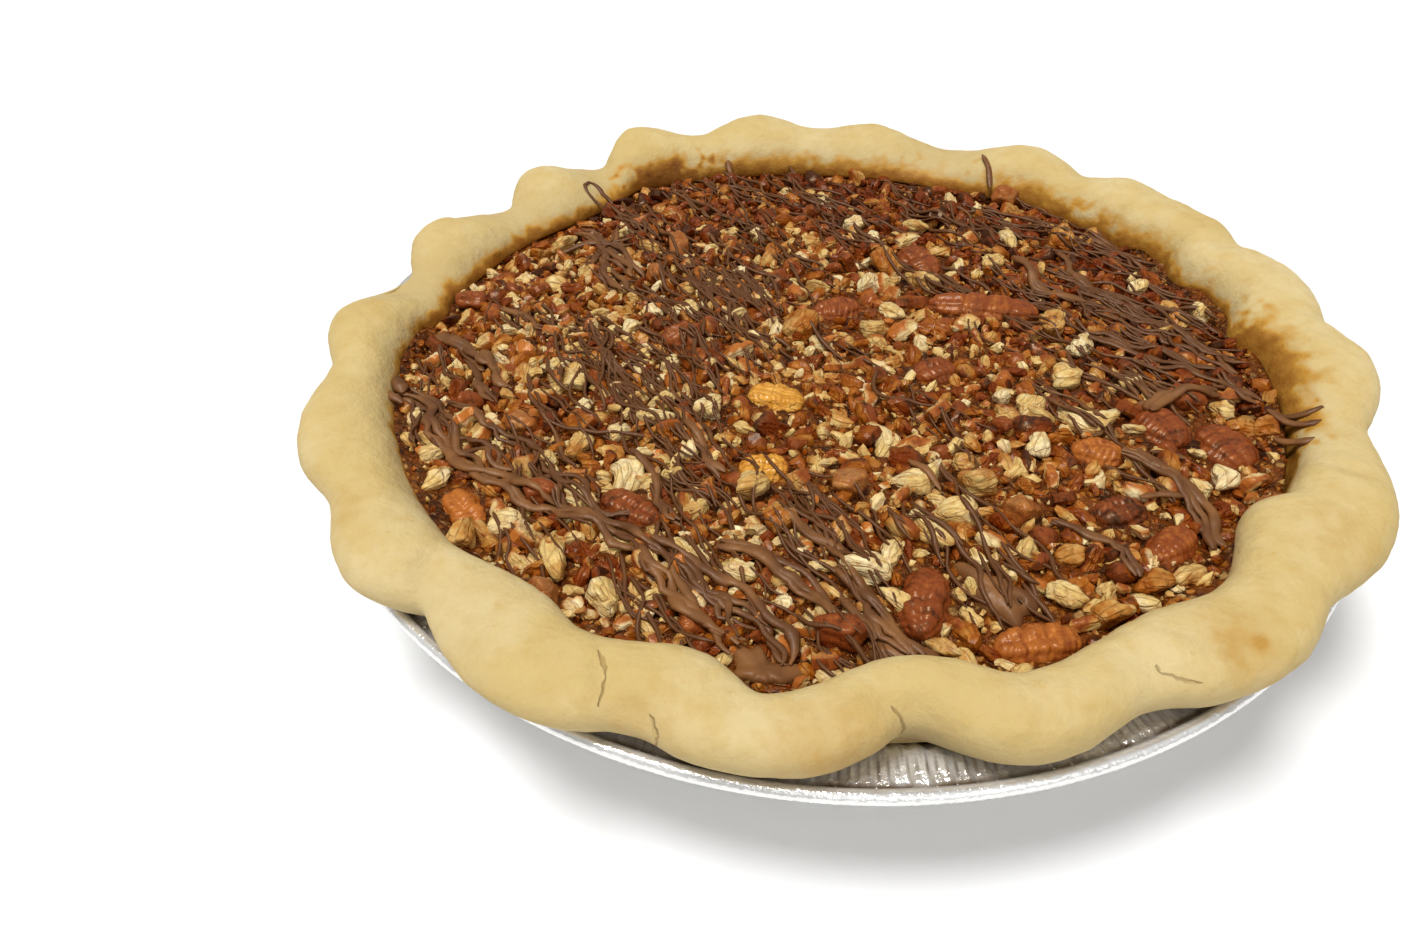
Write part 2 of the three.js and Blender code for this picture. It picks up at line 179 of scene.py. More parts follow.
def blend(tree, share, a, b):
    """Mixes two colours by a share."""
    made = node(tree, "ShaderNodeMix", {"data_type": "RGBA"})
    for socket, value in ((made.inputs[0], share), (made.inputs[6], a), (made.inputs[7], b)):
        if isinstance(value, bpy.types.NodeSocket):
            tree.links.new(value, socket)
        else:
            socket.default_value = value
    return made.outputs[2]


def total(tree, kind, a, b):
    """One sum of two values."""
    return node(tree, "ShaderNodeMath", {"operation": kind}, {0: a, 1: b}).outputs[0]


def plus(tree, *values):
    return functools.reduce(lambda a, b: total(tree, "ADD", a, b), values)


def times(tree, *values):
    return functools.reduce(lambda a, b: total(tree, "MULTIPLY", a, b), values)


def relief(tree, height, depth, strength=1.0):
    """A bump of that depth in millimetres, where height runs from 0 to 1."""
    ins = {"Height": height, "Distance": depth * MM, "Strength": strength}
    return node(tree, "ShaderNodeBump", ins=ins).outputs[0]


def own_place(tree):
    return node(tree, "ShaderNodeTexCoord").outputs["Object"]


def height_of(tree, place):
    return node(tree, "ShaderNodeSeparateXYZ", ins={0: place}).outputs[2]


def marked(tree, name, field="Fac"):
    """What the mesh holds at each point under that name."""
    return node(tree, "ShaderNodeAttribute", {"attribute_name": name}).outputs[field]


def finish(tree, shader, **varying):
    """Links what varies over the surface to the shader, as Base_Color, Roughness, Normal and so on."""
    for name, value in varying.items():
        tree.links.new(value, shader.inputs[name.replace("_", " ")])


def pan_profile():
    """The pan's section, from the axis under the base out to the bead and back over the foil."""
    def corner(before, at, after, size, steps=4):
        before, at, after = map(np.array, (before, at, after))
        start = at + (before - at) / np.linalg.norm(before - at) * size
        end = at + (after - at) / np.linalg.norm(after - at) * size
        shares = np.linspace(0, 1, steps)[:, None]
        return list((1 - shares) ** 2 * start + 2 * shares * (1 - shares) * at + shares**2 * end)

    under, base, mouth = (0, 0), (PAN_BASE_R, 0), (PAN_MOUTH_R, PAN_MOUTH_Z)
    bead = np.array([PAN_RIM_R - BEAD_R, PAN_MOUTH_Z + BEAD_R - PAN_FOIL])
    turns = np.radians(np.linspace(-BEAD_TURN, BEAD_TURN, 15))
    curl = [bead + BEAD_R * np.array([math.cos(t), math.sin(t)]) for t in turns]
    top = PAN_MOUTH_Z + PAN_FOIL
    wall_up = [(mix(PAN_BASE_R, PAN_MOUTH_R, t), PAN_MOUTH_Z * t) for t in np.linspace(0.1, 0.93, 7)]
    inside = [(r - 0.8 * FOIL_LEVEL, z + 0.3 * PAN_FOIL) for r, z in reversed(wall_up)]
    foot = bead[0] - 1.3 * BEAD_R
    return np.array([
        under, *[(r, 0) for r in BASE_RINGS], *corner(under, base, mouth, 2.5), *wall_up,
        *corner(base, mouth, curl[0], 1.6), (PAN_MOUTH_R + 5, PAN_MOUTH_Z), *curl,
        (foot + 0.4, top - 0.1), (foot - 0.3, top - GROOVE_DEPTH * 0.5), (foot - 1.0, top),
        (PAN_MOUTH_R + 4, top), (PAN_MOUTH_R + 0.8, top), (PAN_MOUTH_R - FOIL_LEVEL, top - 1.0),
        *inside, (PAN_BASE_R - 1.6, PAN_FOIL), *[(r, PAN_FOIL) for r in reversed(BASE_RINGS)], (0, PAN_FOIL),
    ])


def pleated_pan():
    profile = pan_profile()
    r, z = profile.T
    turns, ring = circle(PLEATS * PLEAT_STEPS)
    round_pan = np.c_[ring * 60, turns * 0]
    uneven = lumps(round_pan, 4.0, 3)
    size = 0.75 + 0.5 * lumps(round_pan, 2.2, 5)
    wave = np.arcsin(0.94 * np.sin(turns * PLEATS + 1.1 * uneven)) * 2 / math.pi
    pleat = size * (0.5 + 0.5 * wave)  # 0 keeps the sheet in place, 1 pushes it out
    crimp = np.sin(turns * PLEATS * 2 + 2.3 * uneven)  # finer, where the flange was pressed flat
    along = np.gradient(profile, axis=0)
    normal = np.stack([along[:, 1], -along[:, 0]], 1)
    normal /= np.maximum(np.linalg.norm(normal, axis=1, keepdims=True), 1e-6)
    upper = np.arange(len(r)) > len(r) * 0.6
    normal[upper] *= -1  # both skins of the foil move the same way
    on_wall = smooth((z - 1.5) / 9) * (r < PAN_MOUTH_R + 1)
    on_flange = (r >= PAN_MOUTH_R + 1) * (1 - 0.35 * smooth((r - 116) / 3)) * (r < GROOVE_R)
    depth = PLEAT_DEPTH * (on_wall + FLANGE_PLEATS * on_flange)
    push = depth * pleat[:, None] + FLANGE_CRIMP * on_flange * crimp[:, None]
    out = profile[None] + push[..., None] * normal[None]
    dent = RIM_DENT * smooth((r - 119) / 2) * (size * wave)[:, None]
    radius = out[..., 0] - np.abs(dent)
    # painted shade: the foil is darkened in the hollows of the pleats, in the crimps of the flange and in the groove by
    # the bead
    painted_foil_shade = 0.5 * on_wall * smooth((0.30 - (0.5 + 0.5 * wave)) / 0.25)[:, None]
    painted_foil_shade = painted_foil_shade + 0.9 * on_flange * smooth((-0.1 - crimp) / 0.7)[:, None] * np.clip(size, 0.4, 1)[:, None]
    groove = np.exp(-((r - GROOVE_R) ** 2)) + 0.5 * np.exp(-(((r - PAN_RIM_R + BEAD_R) / 0.3) ** 2))
    painted_foil_shade = np.maximum(painted_foil_shade, groove * (upper | (z > PAN_MOUTH_Z + 0.2)))
    points, faces = turned(np.stack([radius * ring[:, :1], radius * ring[:, 1:], out[..., 1]], 2))
    return points, faces, {"painted_foil_shade": per_point(painted_foil_shade)}


def foil_material():
    material, tree, shader = new_material("bright_foil")
    at = own_place(tree)
    crumple = plus(tree, speckle(tree, at, 420, 3, 0.6), times(tree, speckle(tree, at, 1400), 0.3))
    smear = speckle(tree, at, 60, 2)
    # painted shade and painted dark reflection in the folds of the foil
    painted_foil_shade = times(tree, marked(tree, "painted_foil_shade"), band(tree, speckle(tree, at, 160, 2), 0.35, 0.6, 0.45, 1))
    finish(
        tree, shader, Base_Color=blend(tree, painted_foil_shade, FOIL_COLOUR, FOIL_SHADE),
        Metallic=band(tree, height_of(tree, at), 0.024, 0.0285, 0.95, 0.55),  # the flange is duller than the wall
        Roughness=band(tree, smear, 0.35, 0.7, 0.12, 0.26), Normal=relief(tree, crumple, 0.6, 0.6))
    return material


pan_points, pan_faces, pan_values = pleated_pan()
foil_pan = piece("pleated_foil_pan", pan_points, pan_faces, foil_material(), pan_values)
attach(foil_pan, "root")
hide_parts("foil_pan")


# ---------------------------------------------------------------------------------------- the pastry shell
# Shortcrust pastry, pressed into the pan, with the overhang rolled under into a rope and pinched into
# flutes with finger and thumb. Baked pale, and stained where syrup has boiled up its inner side.
GAP = 0.3
CRUST_WALL = 5.3
CRUST_FLOOR = 4.6
ROPE_SEAT_Z = PAN_MOUTH_Z + PAN_FOIL + GAP
ROPE_MIDDLE_Z = 36.0
ROPE_FATNESS = 0.85
SLOPE_FOOT_Z = 31.6
SLUMP_FREE = (278, 50)  # the rope stands up to so many degrees to each side of this angle
ROPE_OVERHANG = 4.0
CREST_SHARE = 0.47
FILLING_EDGE_Z = 30.0
SAMPLES_PER_FLUTE = 60
ARC_STEPS = 11  # points of the rope's top, to each side of the crest
# [angle, reach, crest height, notch, dip, inner radius, inner bulge, lean of the bulge, lean of the notch]
FLUTES = np.array([
    [9, 128, 42.5, 3.5, 0.5, 107.5, 5, 0, -0.1],
    [23.5, 127, 42.5, 0, 0, 107, 5.5, 0, 0],
    [36, 126.5, 42.5, 5, 2.5, 108, 6.5, 0, 0.05],
    [50.5, 125, 43, 6.5, 5, 108, 7, 0.05, -0.05],
    [77, 123.5, 41.5, 4.5, 2, 107.5, 6.5, 0, 0],
    [95, 125.5, 44, 6, 3.5, 108, 7.5, 0, 0],
    [115, 126, 44.5, 10, 6.5, 111, 7.5, -0.05, 0.1],
    [133, 123.5, 41.5, 11, 4.5, 108.5, 6.5, 0, 0.1],
    [154, 123, 41.5, 10, 5.5, 109, 7.5, -0.15, 0.05],
    [176, 124.5, 42, 5.5, 1, 105.5, 1, 0, 0.1],
    [199, 125.5, 42, 4, 1, 107.5, 1.5, -0.1, 0.05],
    [218.5, 126, 42, 6, 2, 106, 4, -0.15, 0.15],
    [240, 125.5, 41.5, 2.5, -0.5, 106, 5, -0.15, 0.1],
    [258.5, 122.5, 41.5, 8, -1, 108.5, 7.5, -0.05, -0.05],
    [282, 121, 42.5, 5, 0, 105.5, 3.5, -0.15, 0.1],
    [306, 124, 42, 3.5, 0, 105.5, 5.5, -0.2, 0.1],
    [326, 126, 42.5, 6, 2.5, 106, -1, 0.05, -0.05],
    [352, 128, 42.5, 4, 1, 109, 6, 0, 0.05],
])
# Where the slope of the inner side ends on the filling: [angle, radius]
SLOPE_FEET = np.array([
    [0, 105], [15, 105.5], [28, 105], [36, 102], [45, 103.5], [54, 100], [62, 99], [78, 98], [88, 98.5], [102, 100],
    [112, 101], [119, 103], [126, 97], [134, 96], [143, 98.5], [155, 99], [169, 101.5], [181, 104.5], [210, 104.5],
    [340, 106],
])
# Where fingers pressed the rope in: [x, y, turn, half length, half width, depth]
DENTS = [
    [-48.3, -104.5, 95, 6.5, 2.4, 1.3],
    [-42, -111.5, -60, 5, 3.5, 1.6],
    [2.5, -112.5, -20, 7, 3.6, 1.8],
    [45.5, -104.5, -20, 6, 3, 1.4],
    [-83, -80, 80, 8, 2.6, 1.5],
    [-108, -40, 35, 6, 3, 0.9],
    [102, -57, -30, 5, 2.4, 0.8],
    [-112, 26, -10, 5, 3, 0.8],
    [-99, 60, -20, 5, 2.6, 0.8],
    [112, 34, 15, 5, 2.6, 0.7],
    [60, -102, 10, 3, 3, 0.4],
]
# Hairline creases in some of the dents: [x, y, x, y] from end to end
CREASES = [
    [-49, -99, -47.7, -104],
    [-47.7, -104, -48.8, -109.5],
    [-40.3, -111.2, -38.9, -114.5],
    [-0.8, -111.2, 2.4, -113.6],
    [44.9, -103.6, 45.0, -105.1],
    [45.0, -105.1, 51.5, -106.9],
]
CREASE_WIDTH = 0.36
CREASE_TREMBLE = 2.4  # how far a crease wanders from side to side
CREASE_SHADE = 0.3
CREASE_DEPTH = 0.9
# Patches that the oven browned: [x, y, radius, strength]
TOASTED = [
    [60.5, -98.8, 6.5, 0.9], [64, -100, 1.2, 1.4], [-8, -117, 8, 0.55], [-42, -113, 8, 0.35], [-15, -121, 7, 0.4],
    [90, -76, 8, 0.4], [-104, -62, 9, 0.3], [-117, 8, 7, 0.35], [108, 48, 8, 0.3], [20, 116, 9, 0.3],
]
# Syrup stains up the inner side: [angle, half spread in degrees, height it reaches, strength]
STAINS = [
    [94, 10, 40.6, 0.8],
    [80, 12, 39.2, 1.0],
    [62, 10, 38.0, 0.8],
    [47, 9, 40.5, 0.9],
    [24, 9, 40.0, 0.95],
    [10, 10, 38.5, 0.72],
    [353, 9, 43.0, 0.95],
    [344, 7, 41.5, 0.98],
    [113.5, 7, 41.6, 1.12],
    [135, 12, 37.5, 0.5],
    [155, 10, 37.5, 0.5],
    [185, 9, 38.5, 0.6],
    [232, 8, 39.0, 0.85],
    [335, 8, 38.5, 0.85],
    [318, 6, 38.5, 0.7],
]
PASTRY_PALE = (0.64, 0.475, 0.195, 1)
PASTRY_GOLD = (0.575, 0.385, 0.115, 1)
PASTRY_FLOURY = (0.71, 0.56, 0.285, 1)
PASTRY_SHADE = (0.49, 0.37, 0.18, 1)  # painted shade on the underside of the rope
PASTRY_AMBER = (0.56, 0.29, 0.045, 1)
# a syrup stain, and also the colour of the painted shade in the creases
STAIN_AND_CREASE_SHADE = (0.31, 0.118, 0.014, 1)
PASTRY_BURNT = (0.13, 0.045, 0.010, 1)
PASTRY_TOAST = (0.50, 0.27, 0.055, 1)
SYRUP_LINE_Z = 36.2  # how high the syrup has soaked in all round


def cos_sin(degrees):
    return math.cos(math.radians(degrees)), math.sin(math.radians(degrees))


def along_across(turn, x, y):
    """Places measured along and across a direction in degrees."""
    c, s = cos_sin(turn)
    return x * c + y * s, y * c - x * s


def from_angle(turn, angle):
    """How far a turn is from an angle, from -180 to 180 degrees."""
    return (turn - angle + 180) % 360 - 180


def crust_outer_r(z):
    return mix(PAN_BASE_R, PAN_MOUTH_R, z / PAN_MOUTH_Z) - FOIL_LEVEL - GAP * math.hypot(1, WALL_SLOPE)


def crust_inner_r(z):
    return crust_outer_r(z) - CRUST_WALL


def soft_abs(x):
    return (np.sqrt(x * x + 0.09) - 0.3) / (math.sqrt(1.09) - 0.3)


def rope_at(i, t):
    """Outer radius, inner radius, crest's radius and height, at share t of the way to the next flute."""
    angle, reach, crest, notch, dip, recess, bulge, lean_in, lean_out = FLUTES[i]
    after = FLUTES[(i + 1) % len(FLUTES)]
    t_in = t + lean_in * 4 * t * (1 - t)
    t_out = t + lean_out * 4 * t * (1 - t)
    outer = mix(reach, after[1], smooth(t_out)) - notch * (1 - soft_abs(np.cos(math.pi * t_out)))
    inner = mix(recess, after[5], smooth(t_in)) - bulge * soft_abs(np.sin(math.pi * t_in))
    crest_z = mix(crest, after[2], smooth(t)) - dip * np.sin(math.pi * (t_in + t_out) / 2) ** 2
    turn = mix(angle, after[0] + (360 if after[0] < angle else 0), t)
    return turn, outer, inner, mix(inner, outer, CREST_SHARE), crest_z


def slump(turn):
    """1 where the inner side has slumped to a slope over the filling, 0 at the front, where it stands."""
    return smooth((np.abs(from_angle(np.asarray(turn), SLUMP_FREE[0])) - SLUMP_FREE[1]) / 16)


def slope_foot(turn, inner):
    """The radius at which the inner side ends on the filling."""
    foot = np.interp(np.asarray(turn) % 360, *SLOPE_FEET.T, period=360)
    return mix(inner, np.minimum(inner, foot), slump(turn))


def crust_section(turn, outer, inner, crest_r, crest_z):
    """The shell's section at one turn, from the axis below the floor to the axis above it."""
    seat_end = min(outer - ROPE_OVERHANG, PAN_RIM_R - 2 * BEAD_R - 2)
    bead_clear = PAN_MOUTH_Z + 2 * BEAD_R - PAN_FOIL + 3 * GAP
    wall_r = crust_inner_r(FILLING_EDGE_Z)
    foot_r = slope_foot(turn, inner)
    foot_z = mix(ROPE_MIDDLE_Z, SLOPE_FOOT_Z, slump(turn))

    def top(side, low, degrees, fatness):
        c, s = cos_sin(degrees)
        return crest_r + (side - crest_r) * max(c, 0) ** fatness, mix(low, crest_z, max(s, 0) ** fatness)

    base_z = PAN_FOIL + GAP
    floor_z = base_z + CRUST_FLOOR
    steps = np.linspace(0, 90, ARC_STEPS + 1)
    rope = np.array([
        (crust_outer_r(ROPE_SEAT_Z), ROPE_SEAT_Z), (seat_end, ROPE_SEAT_Z),
        (mix(seat_end, outer, 0.45), bead_clear), (mix(seat_end, outer, 0.85), mix(bead_clear, ROPE_MIDDLE_Z, 0.5)),
        *[top(outer, ROPE_MIDDLE_Z, d, ROPE_FATNESS) for d in steps[:-1]], (crest_r, crest_z),
        *[top(foot_r, foot_z, d, mix(ROPE_FATNESS, 1.0, slump(turn))) for d in steps[-2::-1]],
        (mix(foot_r, wall_r, 0.4), mix(foot_z, FILLING_EDGE_Z, 0.5)), (wall_r, FILLING_EDGE_Z),
    ])
    cut = [rope[0]]  # corners are cut once, so that the rope's section has no edges
    for a, b in zip(rope[:-1], rope[1:]):
        cut += [mix(a, b, 0.25), mix(a, b, 0.75)]
    cut.append(rope[-1])
    before = [(0, base_z), (60, base_z), (crust_outer_r(base_z) - 2 * GAP, base_z), (crust_outer_r(15), 15)]
    after = [(crust_inner_r(18), 18), (crust_inner_r(floor_z), floor_z), (60, floor_z), (0, floor_z)]
    return np.array([*before, *cut, *after]), len(before), len(before) + len(cut)


def lumps_on_lumps(points, *layers):
    """Noise of several sizes in one: rows of (height, size, seed)."""
    return sum(height * lumps(points, size, seed) for height, size, seed in layers)


def pastry_shell():
    ropes = [rope_at(i, k / SAMPLES_PER_FLUTE) for i in range(len(FLUTES)) for k in range(SAMPLES_PER_FLUTE)]
    turns = np.array([rope[0] for rope in ropes])
    made = [crust_section(*rope) for rope in ropes]
    sections = np.array([section for section, _, _ in made])
    first, last = made[0][1:]
    ring = np.stack([np.cos(np.radians(turns)), np.sin(np.radians(turns))], 1)[:, None]
    rings = np.concatenate([sections[..., :1] * ring, sections[..., 1:]], 2)

    along = np.roll(rings, -1, 0) - np.roll(rings, 1, 0)
    across = np.gradient(rings, axis=1)
    normal = np.cross(along, across)
    normal /= np.maximum(np.linalg.norm(normal, axis=2, keepdims=True), 1e-9)

    stations = np.arange(rings.shape[1])
    rope_share = np.clip((stations - first) / (last - 1 - first), 0, 1)
    free = smooth(np.minimum(rope_share, 1 - rope_share) / 0.16)[None]  # 0 where the rope rests
    flat = rings.reshape(-1, 3)
    height = lumps_on_lumps(flat, (0.42, 13, 1), (0.22, 5.5, 2), (0.09, 2.2, 4)).reshape(rings.shape[:2])

    pressed, toast = np.zeros(rings.shape[:2]), np.zeros(rings.shape[:2])
    for x, y, turn, half, wide, depth in DENTS:
        u, v = along_across(turn, rings[..., 0] - x, rings[..., 1] - y)
        pressed += depth * np.exp(-((u / half) ** 2) - (v / wide) ** 2)
    for x, y, radius, strength in TOASTED:
        toast += strength * np.exp(-(np.hypot(rings[..., 0] - x, rings[..., 1] - y) / radius) ** 2)
    rings = rings + ((height - pressed) * free)[..., None] * normal

    syrup = np.zeros(rings.shape[:2])
    inner_side = smooth((rope_share - 0.52) / 0.1)[None]
    ragged = lumps_on_lumps(flat, (1.5, 4.5, 7), (0.9, 2.0, 8)).reshape(syrup.shape)
    for angle, spread, reach, strength in STAINS:
        away = np.abs(from_angle(turns, angle))[:, None]
        up = smooth((reach + 1.2 * ragged - rings[..., 2]) / 5.5)
        syrup = np.maximum(syrup, strength * up * smooth((spread + 4 * ragged - away) / 6 + 0.5))
    soaked = SYRUP_LINE_Z + lumps_on_lumps(flat, (1.3, 6, 9), (1.0, 2.4, 14))
    wet = smooth((soaked.reshape(syrup.shape) - rings[..., 2]) / 3.2 + 0.2)
    syrup = np.maximum(syrup, wet) * inner_side

    points, faces = turned(rings)
    return points, faces, {"syrup": per_point(syrup), "toast": per_point(toast * free)}


def crease_tree():
    """The mask of a hairline from one place to another, seen from above, as a group for all creases."""
    tree = bpy.data.node_groups.new("crease_line", "ShaderNodeTree")
    for name, kind in (("Place", "Vector"), ("From", "Vector"), ("Along", "Vector"), ("Width", "Float")):
        tree.interface.new_socket(name, in_out="INPUT", socket_type="NodeSocket" + kind)
    tree.interface.new_socket("Mask", in_out="OUTPUT", socket_type="NodeSocketFloat")
    given = node(tree, "NodeGroupInput").outputs

    def vector(operation, a, b=(0, 0, 0), out=0):
        return node(tree, "ShaderNodeVectorMath", {"operation": operation}, {0: a, 1: b}).outputs[out]

    away, along = vector("SUBTRACT", given["Place"], given["From"]), given["Along"]
    share = node(tree, "ShaderNodeMath", {"operation": "DIVIDE", "use_clamp": True}, {
        0: vector("DOT_PRODUCT", away, along, "Value"), 1: vector("DOT_PRODUCT", along, along, "Value")}).outputs[0]
    nearest = node(tree, "ShaderNodeVectorMath", {"operation": "SCALE"}, {0: along, 3: share}).outputs[0]
    distance = vector("LENGTH", vector("SUBTRACT", away, nearest), out="Value")
    middle = node(tree, "ShaderNodeMath", {"operation": "PINGPONG"}, {0: share, 1: 0.5}).outputs[0]
    width = times(tree, given["Width"], band(tree, middle, 0.0, 0.25, 0.35, 1))
    mask = band(tree, total(tree, "DIVIDE", distance, width), 0.1, 1.0, 1, 0)
    node(tree, "NodeGroupOutput", ins={"Mask": mask})
    return tree


def coats(tree, colour, *rows):
    """Lays colours over a first one: rows of (value, low, high, share that covers at the high value, colour)."""
    for value, low, high, most, over in rows:
        colour = blend(tree, band(tree, value, low, high, 0.0, most), colour, over)
    return colour


def pastry_material():
    material, tree, shader = new_material("baked_pastry", **{
        "Subsurface Weight": 0.12, "Subsurface Scale": 0.003, "Subsurface Radius": (1.0, 0.6, 0.3),
        "Specular IOR Level": 0.15})
    at = own_place(tree)
    patches = speckle(tree, at, 38, 4, 0.6)
    mottle = speckle(tree, at, 210, 4, 0.6)
    grain = speckle(tree, at, 1300, 3, 0.6)
    pores = speckle(tree, at, 520, 2, 0.5)
    tremble = node(tree, "ShaderNodeTexNoise", ins={"Vector": at, "Scale": 260, "Detail": 3}).outputs["Color"]
    tremble = node(tree, "ShaderNodeVectorMath", {"operation": "MULTIPLY_ADD"}, {
        0: tremble, 1: (CREASE_TREMBLE * MM, CREASE_TREMBLE * MM, 0), 2: at}).outputs[0]
    flat = node(tree, "ShaderNodeVectorMath", {"operation": "MULTIPLY"}, {0: tremble, 1: (1, 1, 0)}).outputs[0]
    hairline, crease, middle = crease_tree(), None, CREASE_TREMBLE / 2
    for x0, y0, x1, y1 in CREASES:
        made = node(tree, "ShaderNodeGroup", {"node_tree": hairline}, {
            "Place": flat, "From": ((x0 + middle) * MM, (y0 + middle) * MM, 0),
            "Along": ((x1 - x0) * MM, (y1 - y0) * MM, 0), "Width": CREASE_WIDTH * MM}).outputs[0]
        crease = total(tree, "MAXIMUM", crease, made) if crease else made
    toast = times(tree, marked(tree, "toast"), band(tree, mottle, 0.3, 0.7, 0.45, 1.3))
    runs = plus(tree, marked(tree, "syrup"), band(tree, mottle, 0.3, 0.7, -0.12, 0.12))
    # painted shade: below 41 mm the pastry darkens towards PASTRY_SHADE, fully so at 31 mm
    colour = coats(
        tree, PASTRY_PALE, (patches, 0.42, 0.66, 1, PASTRY_FLOURY), (mottle, 0.45, 0.85, 0.6, PASTRY_GOLD),
        (pores, 0.68, 0.78, 0.45, PASTRY_GOLD), (height_of(tree, at), 0.041, 0.031, 1, PASTRY_SHADE),
        (toast, 0.05, 1.3, 0.9, PASTRY_TOAST))
    # painted shade along the hairline creases
    colour = blend(tree, times(tree, crease, CREASE_SHADE), colour, STAIN_AND_CREASE_SHADE)
    colour = coats(
        tree, colour, (runs, 0.1, 0.65, 1, PASTRY_AMBER), (runs, 0.6, 1.05, 1, STAIN_AND_CREASE_SHADE),
        (runs, 1.05, 1.3, 0.8, PASTRY_BURNT))
    height = plus(tree, times(tree, grain, 0.35), mottle, times(tree, speckle(tree, at, 95, 3, 0.6), 2.4))
    height = total(tree, "SUBTRACT", height, times(tree, crease, CREASE_DEPTH))
    finish(
        tree, shader, Base_Color=colour, Roughness=band(tree, runs, 0.1, 0.65, 0.72, 0.46),
        Normal=relief(tree, height, 0.55, 0.85))
    return material


shell_points, shell_faces, shell_values = pastry_shell()
crust = piece("fluted_pastry_shell", shell_points, shell_faces, pastry_material(), shell_values)
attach(crust, "root")
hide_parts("crust")


# ---------------------------------------------------------------------------------------- the filling
# Egg, butter and syrup custard, set in the oven to a glossy brown jelly. It fills the shell, rises a
# little to the middle, climbs the pastry at its edge, and shows only between the nuts, as dark syrup with
# painted shade in its low places.
FILLING_DOME = 3.0
FILLING_FLOOR_Z = PAN_FOIL + GAP + CRUST_FLOOR + GAP
FILLING_TURNS = 288
FILLING_RINGS = 84
EDGE_RISE = 3.6  # how far the nuts and syrup have crept up at the edge
EDGE_RUN = 8.0
SYRUP_LIFT = 0.6
# dark syrup, and the painted shade in the gaps between the nuts and at their bases
SYRUP_DARK_AND_SHADE = (0.030, 0.006, 0.001, 1)
SYRUP_BROWN = (0.18, 0.040, 0.004, 1)
SYRUP_GLOSS = (1.0, 0.60, 0.28, 1)  # the syrup tints what it reflects
SYRUP_AMBER = (0.42, 0.145, 0.014, 1)
NUT_GRAIN = (0.58, 0.36, 0.12, 1)


def filling_top(x, y):
    share = np.hypot(x, y) / crust_inner_r(FILLING_EDGE_Z)
    return FILLING_EDGE_Z + FILLING_DOME * (1 - share**4)


def bed_top(x, y):
    """The height of the nutty surface, which creeps up at its edge, least at the back."""
    rise = EDGE_RISE * (1 - 0.8 * smooth((y - 20) / 60))
    return filling_top(x, y) + rise * smooth((np.hypot(x, y) - crust_inner_r(FILLING_EDGE_Z) + EDGE_RUN) / EDGE_RUN)


def custard():
    turns, ring = circle(FILLING_TURNS)
    edge = crust_inner_r(FILLING_EDGE_Z) - 1.3 * GAP
    radii = edge * np.sqrt(np.linspace(1, 0.0004, FILLING_RINGS))
    flat = np.stack([ring[:, :1] * radii, ring[:, 1:] * radii], 2)
    places = np.c_[flat.reshape(-1, 2), np.zeros(flat.shape[0] * flat.shape[1])]
    rough = lumps_on_lumps(places, (0.75, 7, 11), (0.45, 3, 12)).reshape(flat.shape[:2])
    z = bed_top(flat[..., 0], flat[..., 1]) + rough + SYRUP_LIFT
    z[:, 0] = bed_top(*flat[:, 0].T)
    top = np.concatenate([flat, z[..., None]], 2)
    low_edge = crust_inner_r(FILLING_FLOOR_Z) - 1.4 * GAP
    low = np.concatenate([ring * low_edge, np.full((len(turns), 1), FILLING_FLOOR_Z)], 1)
    pole = np.zeros((len(turns), 1, 3))
    under = pole + (0, 0, FILLING_FLOOR_Z)
    middle = pole + (0, 0, filling_top(0, 0) - 0.3)
    return turned(np.concatenate([under, low[:, None], top, middle], 1))


def cells(tree, place, scale, feature="DISTANCE_TO_EDGE", output="Distance"):
    """A pattern of cells, scale in cells for each metre."""
    ins = {"Vector": place, "Scale": scale, "Randomness": 1}
    return node(tree, "ShaderNodeTexVoronoi", {"feature": feature}, ins).outputs[output]


def custard_material():
    material, tree, shader = new_material("set_syrup", **{
        "Coat Weight": 0.1, "Coat Roughness": 0.08, "Specular IOR Level": 0.6, "Specular Tint": SYRUP_GLOSS})
    at = own_place(tree)
    depth = speckle(tree, at, 260, 4, 0.6)
    grain = speckle(tree, at, 900, 3, 0.6)
    kind = node(tree, "ShaderNodeSeparateColor", ins={0: cells(tree, at, 480, "F1", "Color")}).outputs[0]
    chip = band(tree, cells(tree, at, 480), 0.04, 0.22)
    fleck = coats(tree, SYRUP_BROWN, (kind, 0.35, 0.6, 1, SYRUP_AMBER), (kind, 0.82, 0.9, 1, NUT_GRAIN))
    # painted shade: the syrup turns near black where its relief is low, in the gaps between the nuts
    colour = coats(tree, SYRUP_DARK_AND_SHADE, (depth, 0.38, 0.62, 1, SYRUP_BROWN))
    colour = blend(tree, times(tree, chip, band(tree, depth, 0.40, 0.62, 0, 0.8)), colour, fleck)
    finish(
        tree, shader, Base_Color=colour, Roughness=band(tree, grain, 0.3, 0.7, 0.16, 0.4),
        Normal=relief(tree, plus(tree, depth, grain, chip), 0.6, 0.9))
    return material


bed_points, bed_faces = custard()
custard_filling = piece("custard_filling", bed_points, bed_faces, custard_material())
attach(custard_filling, "root")
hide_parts("filling")


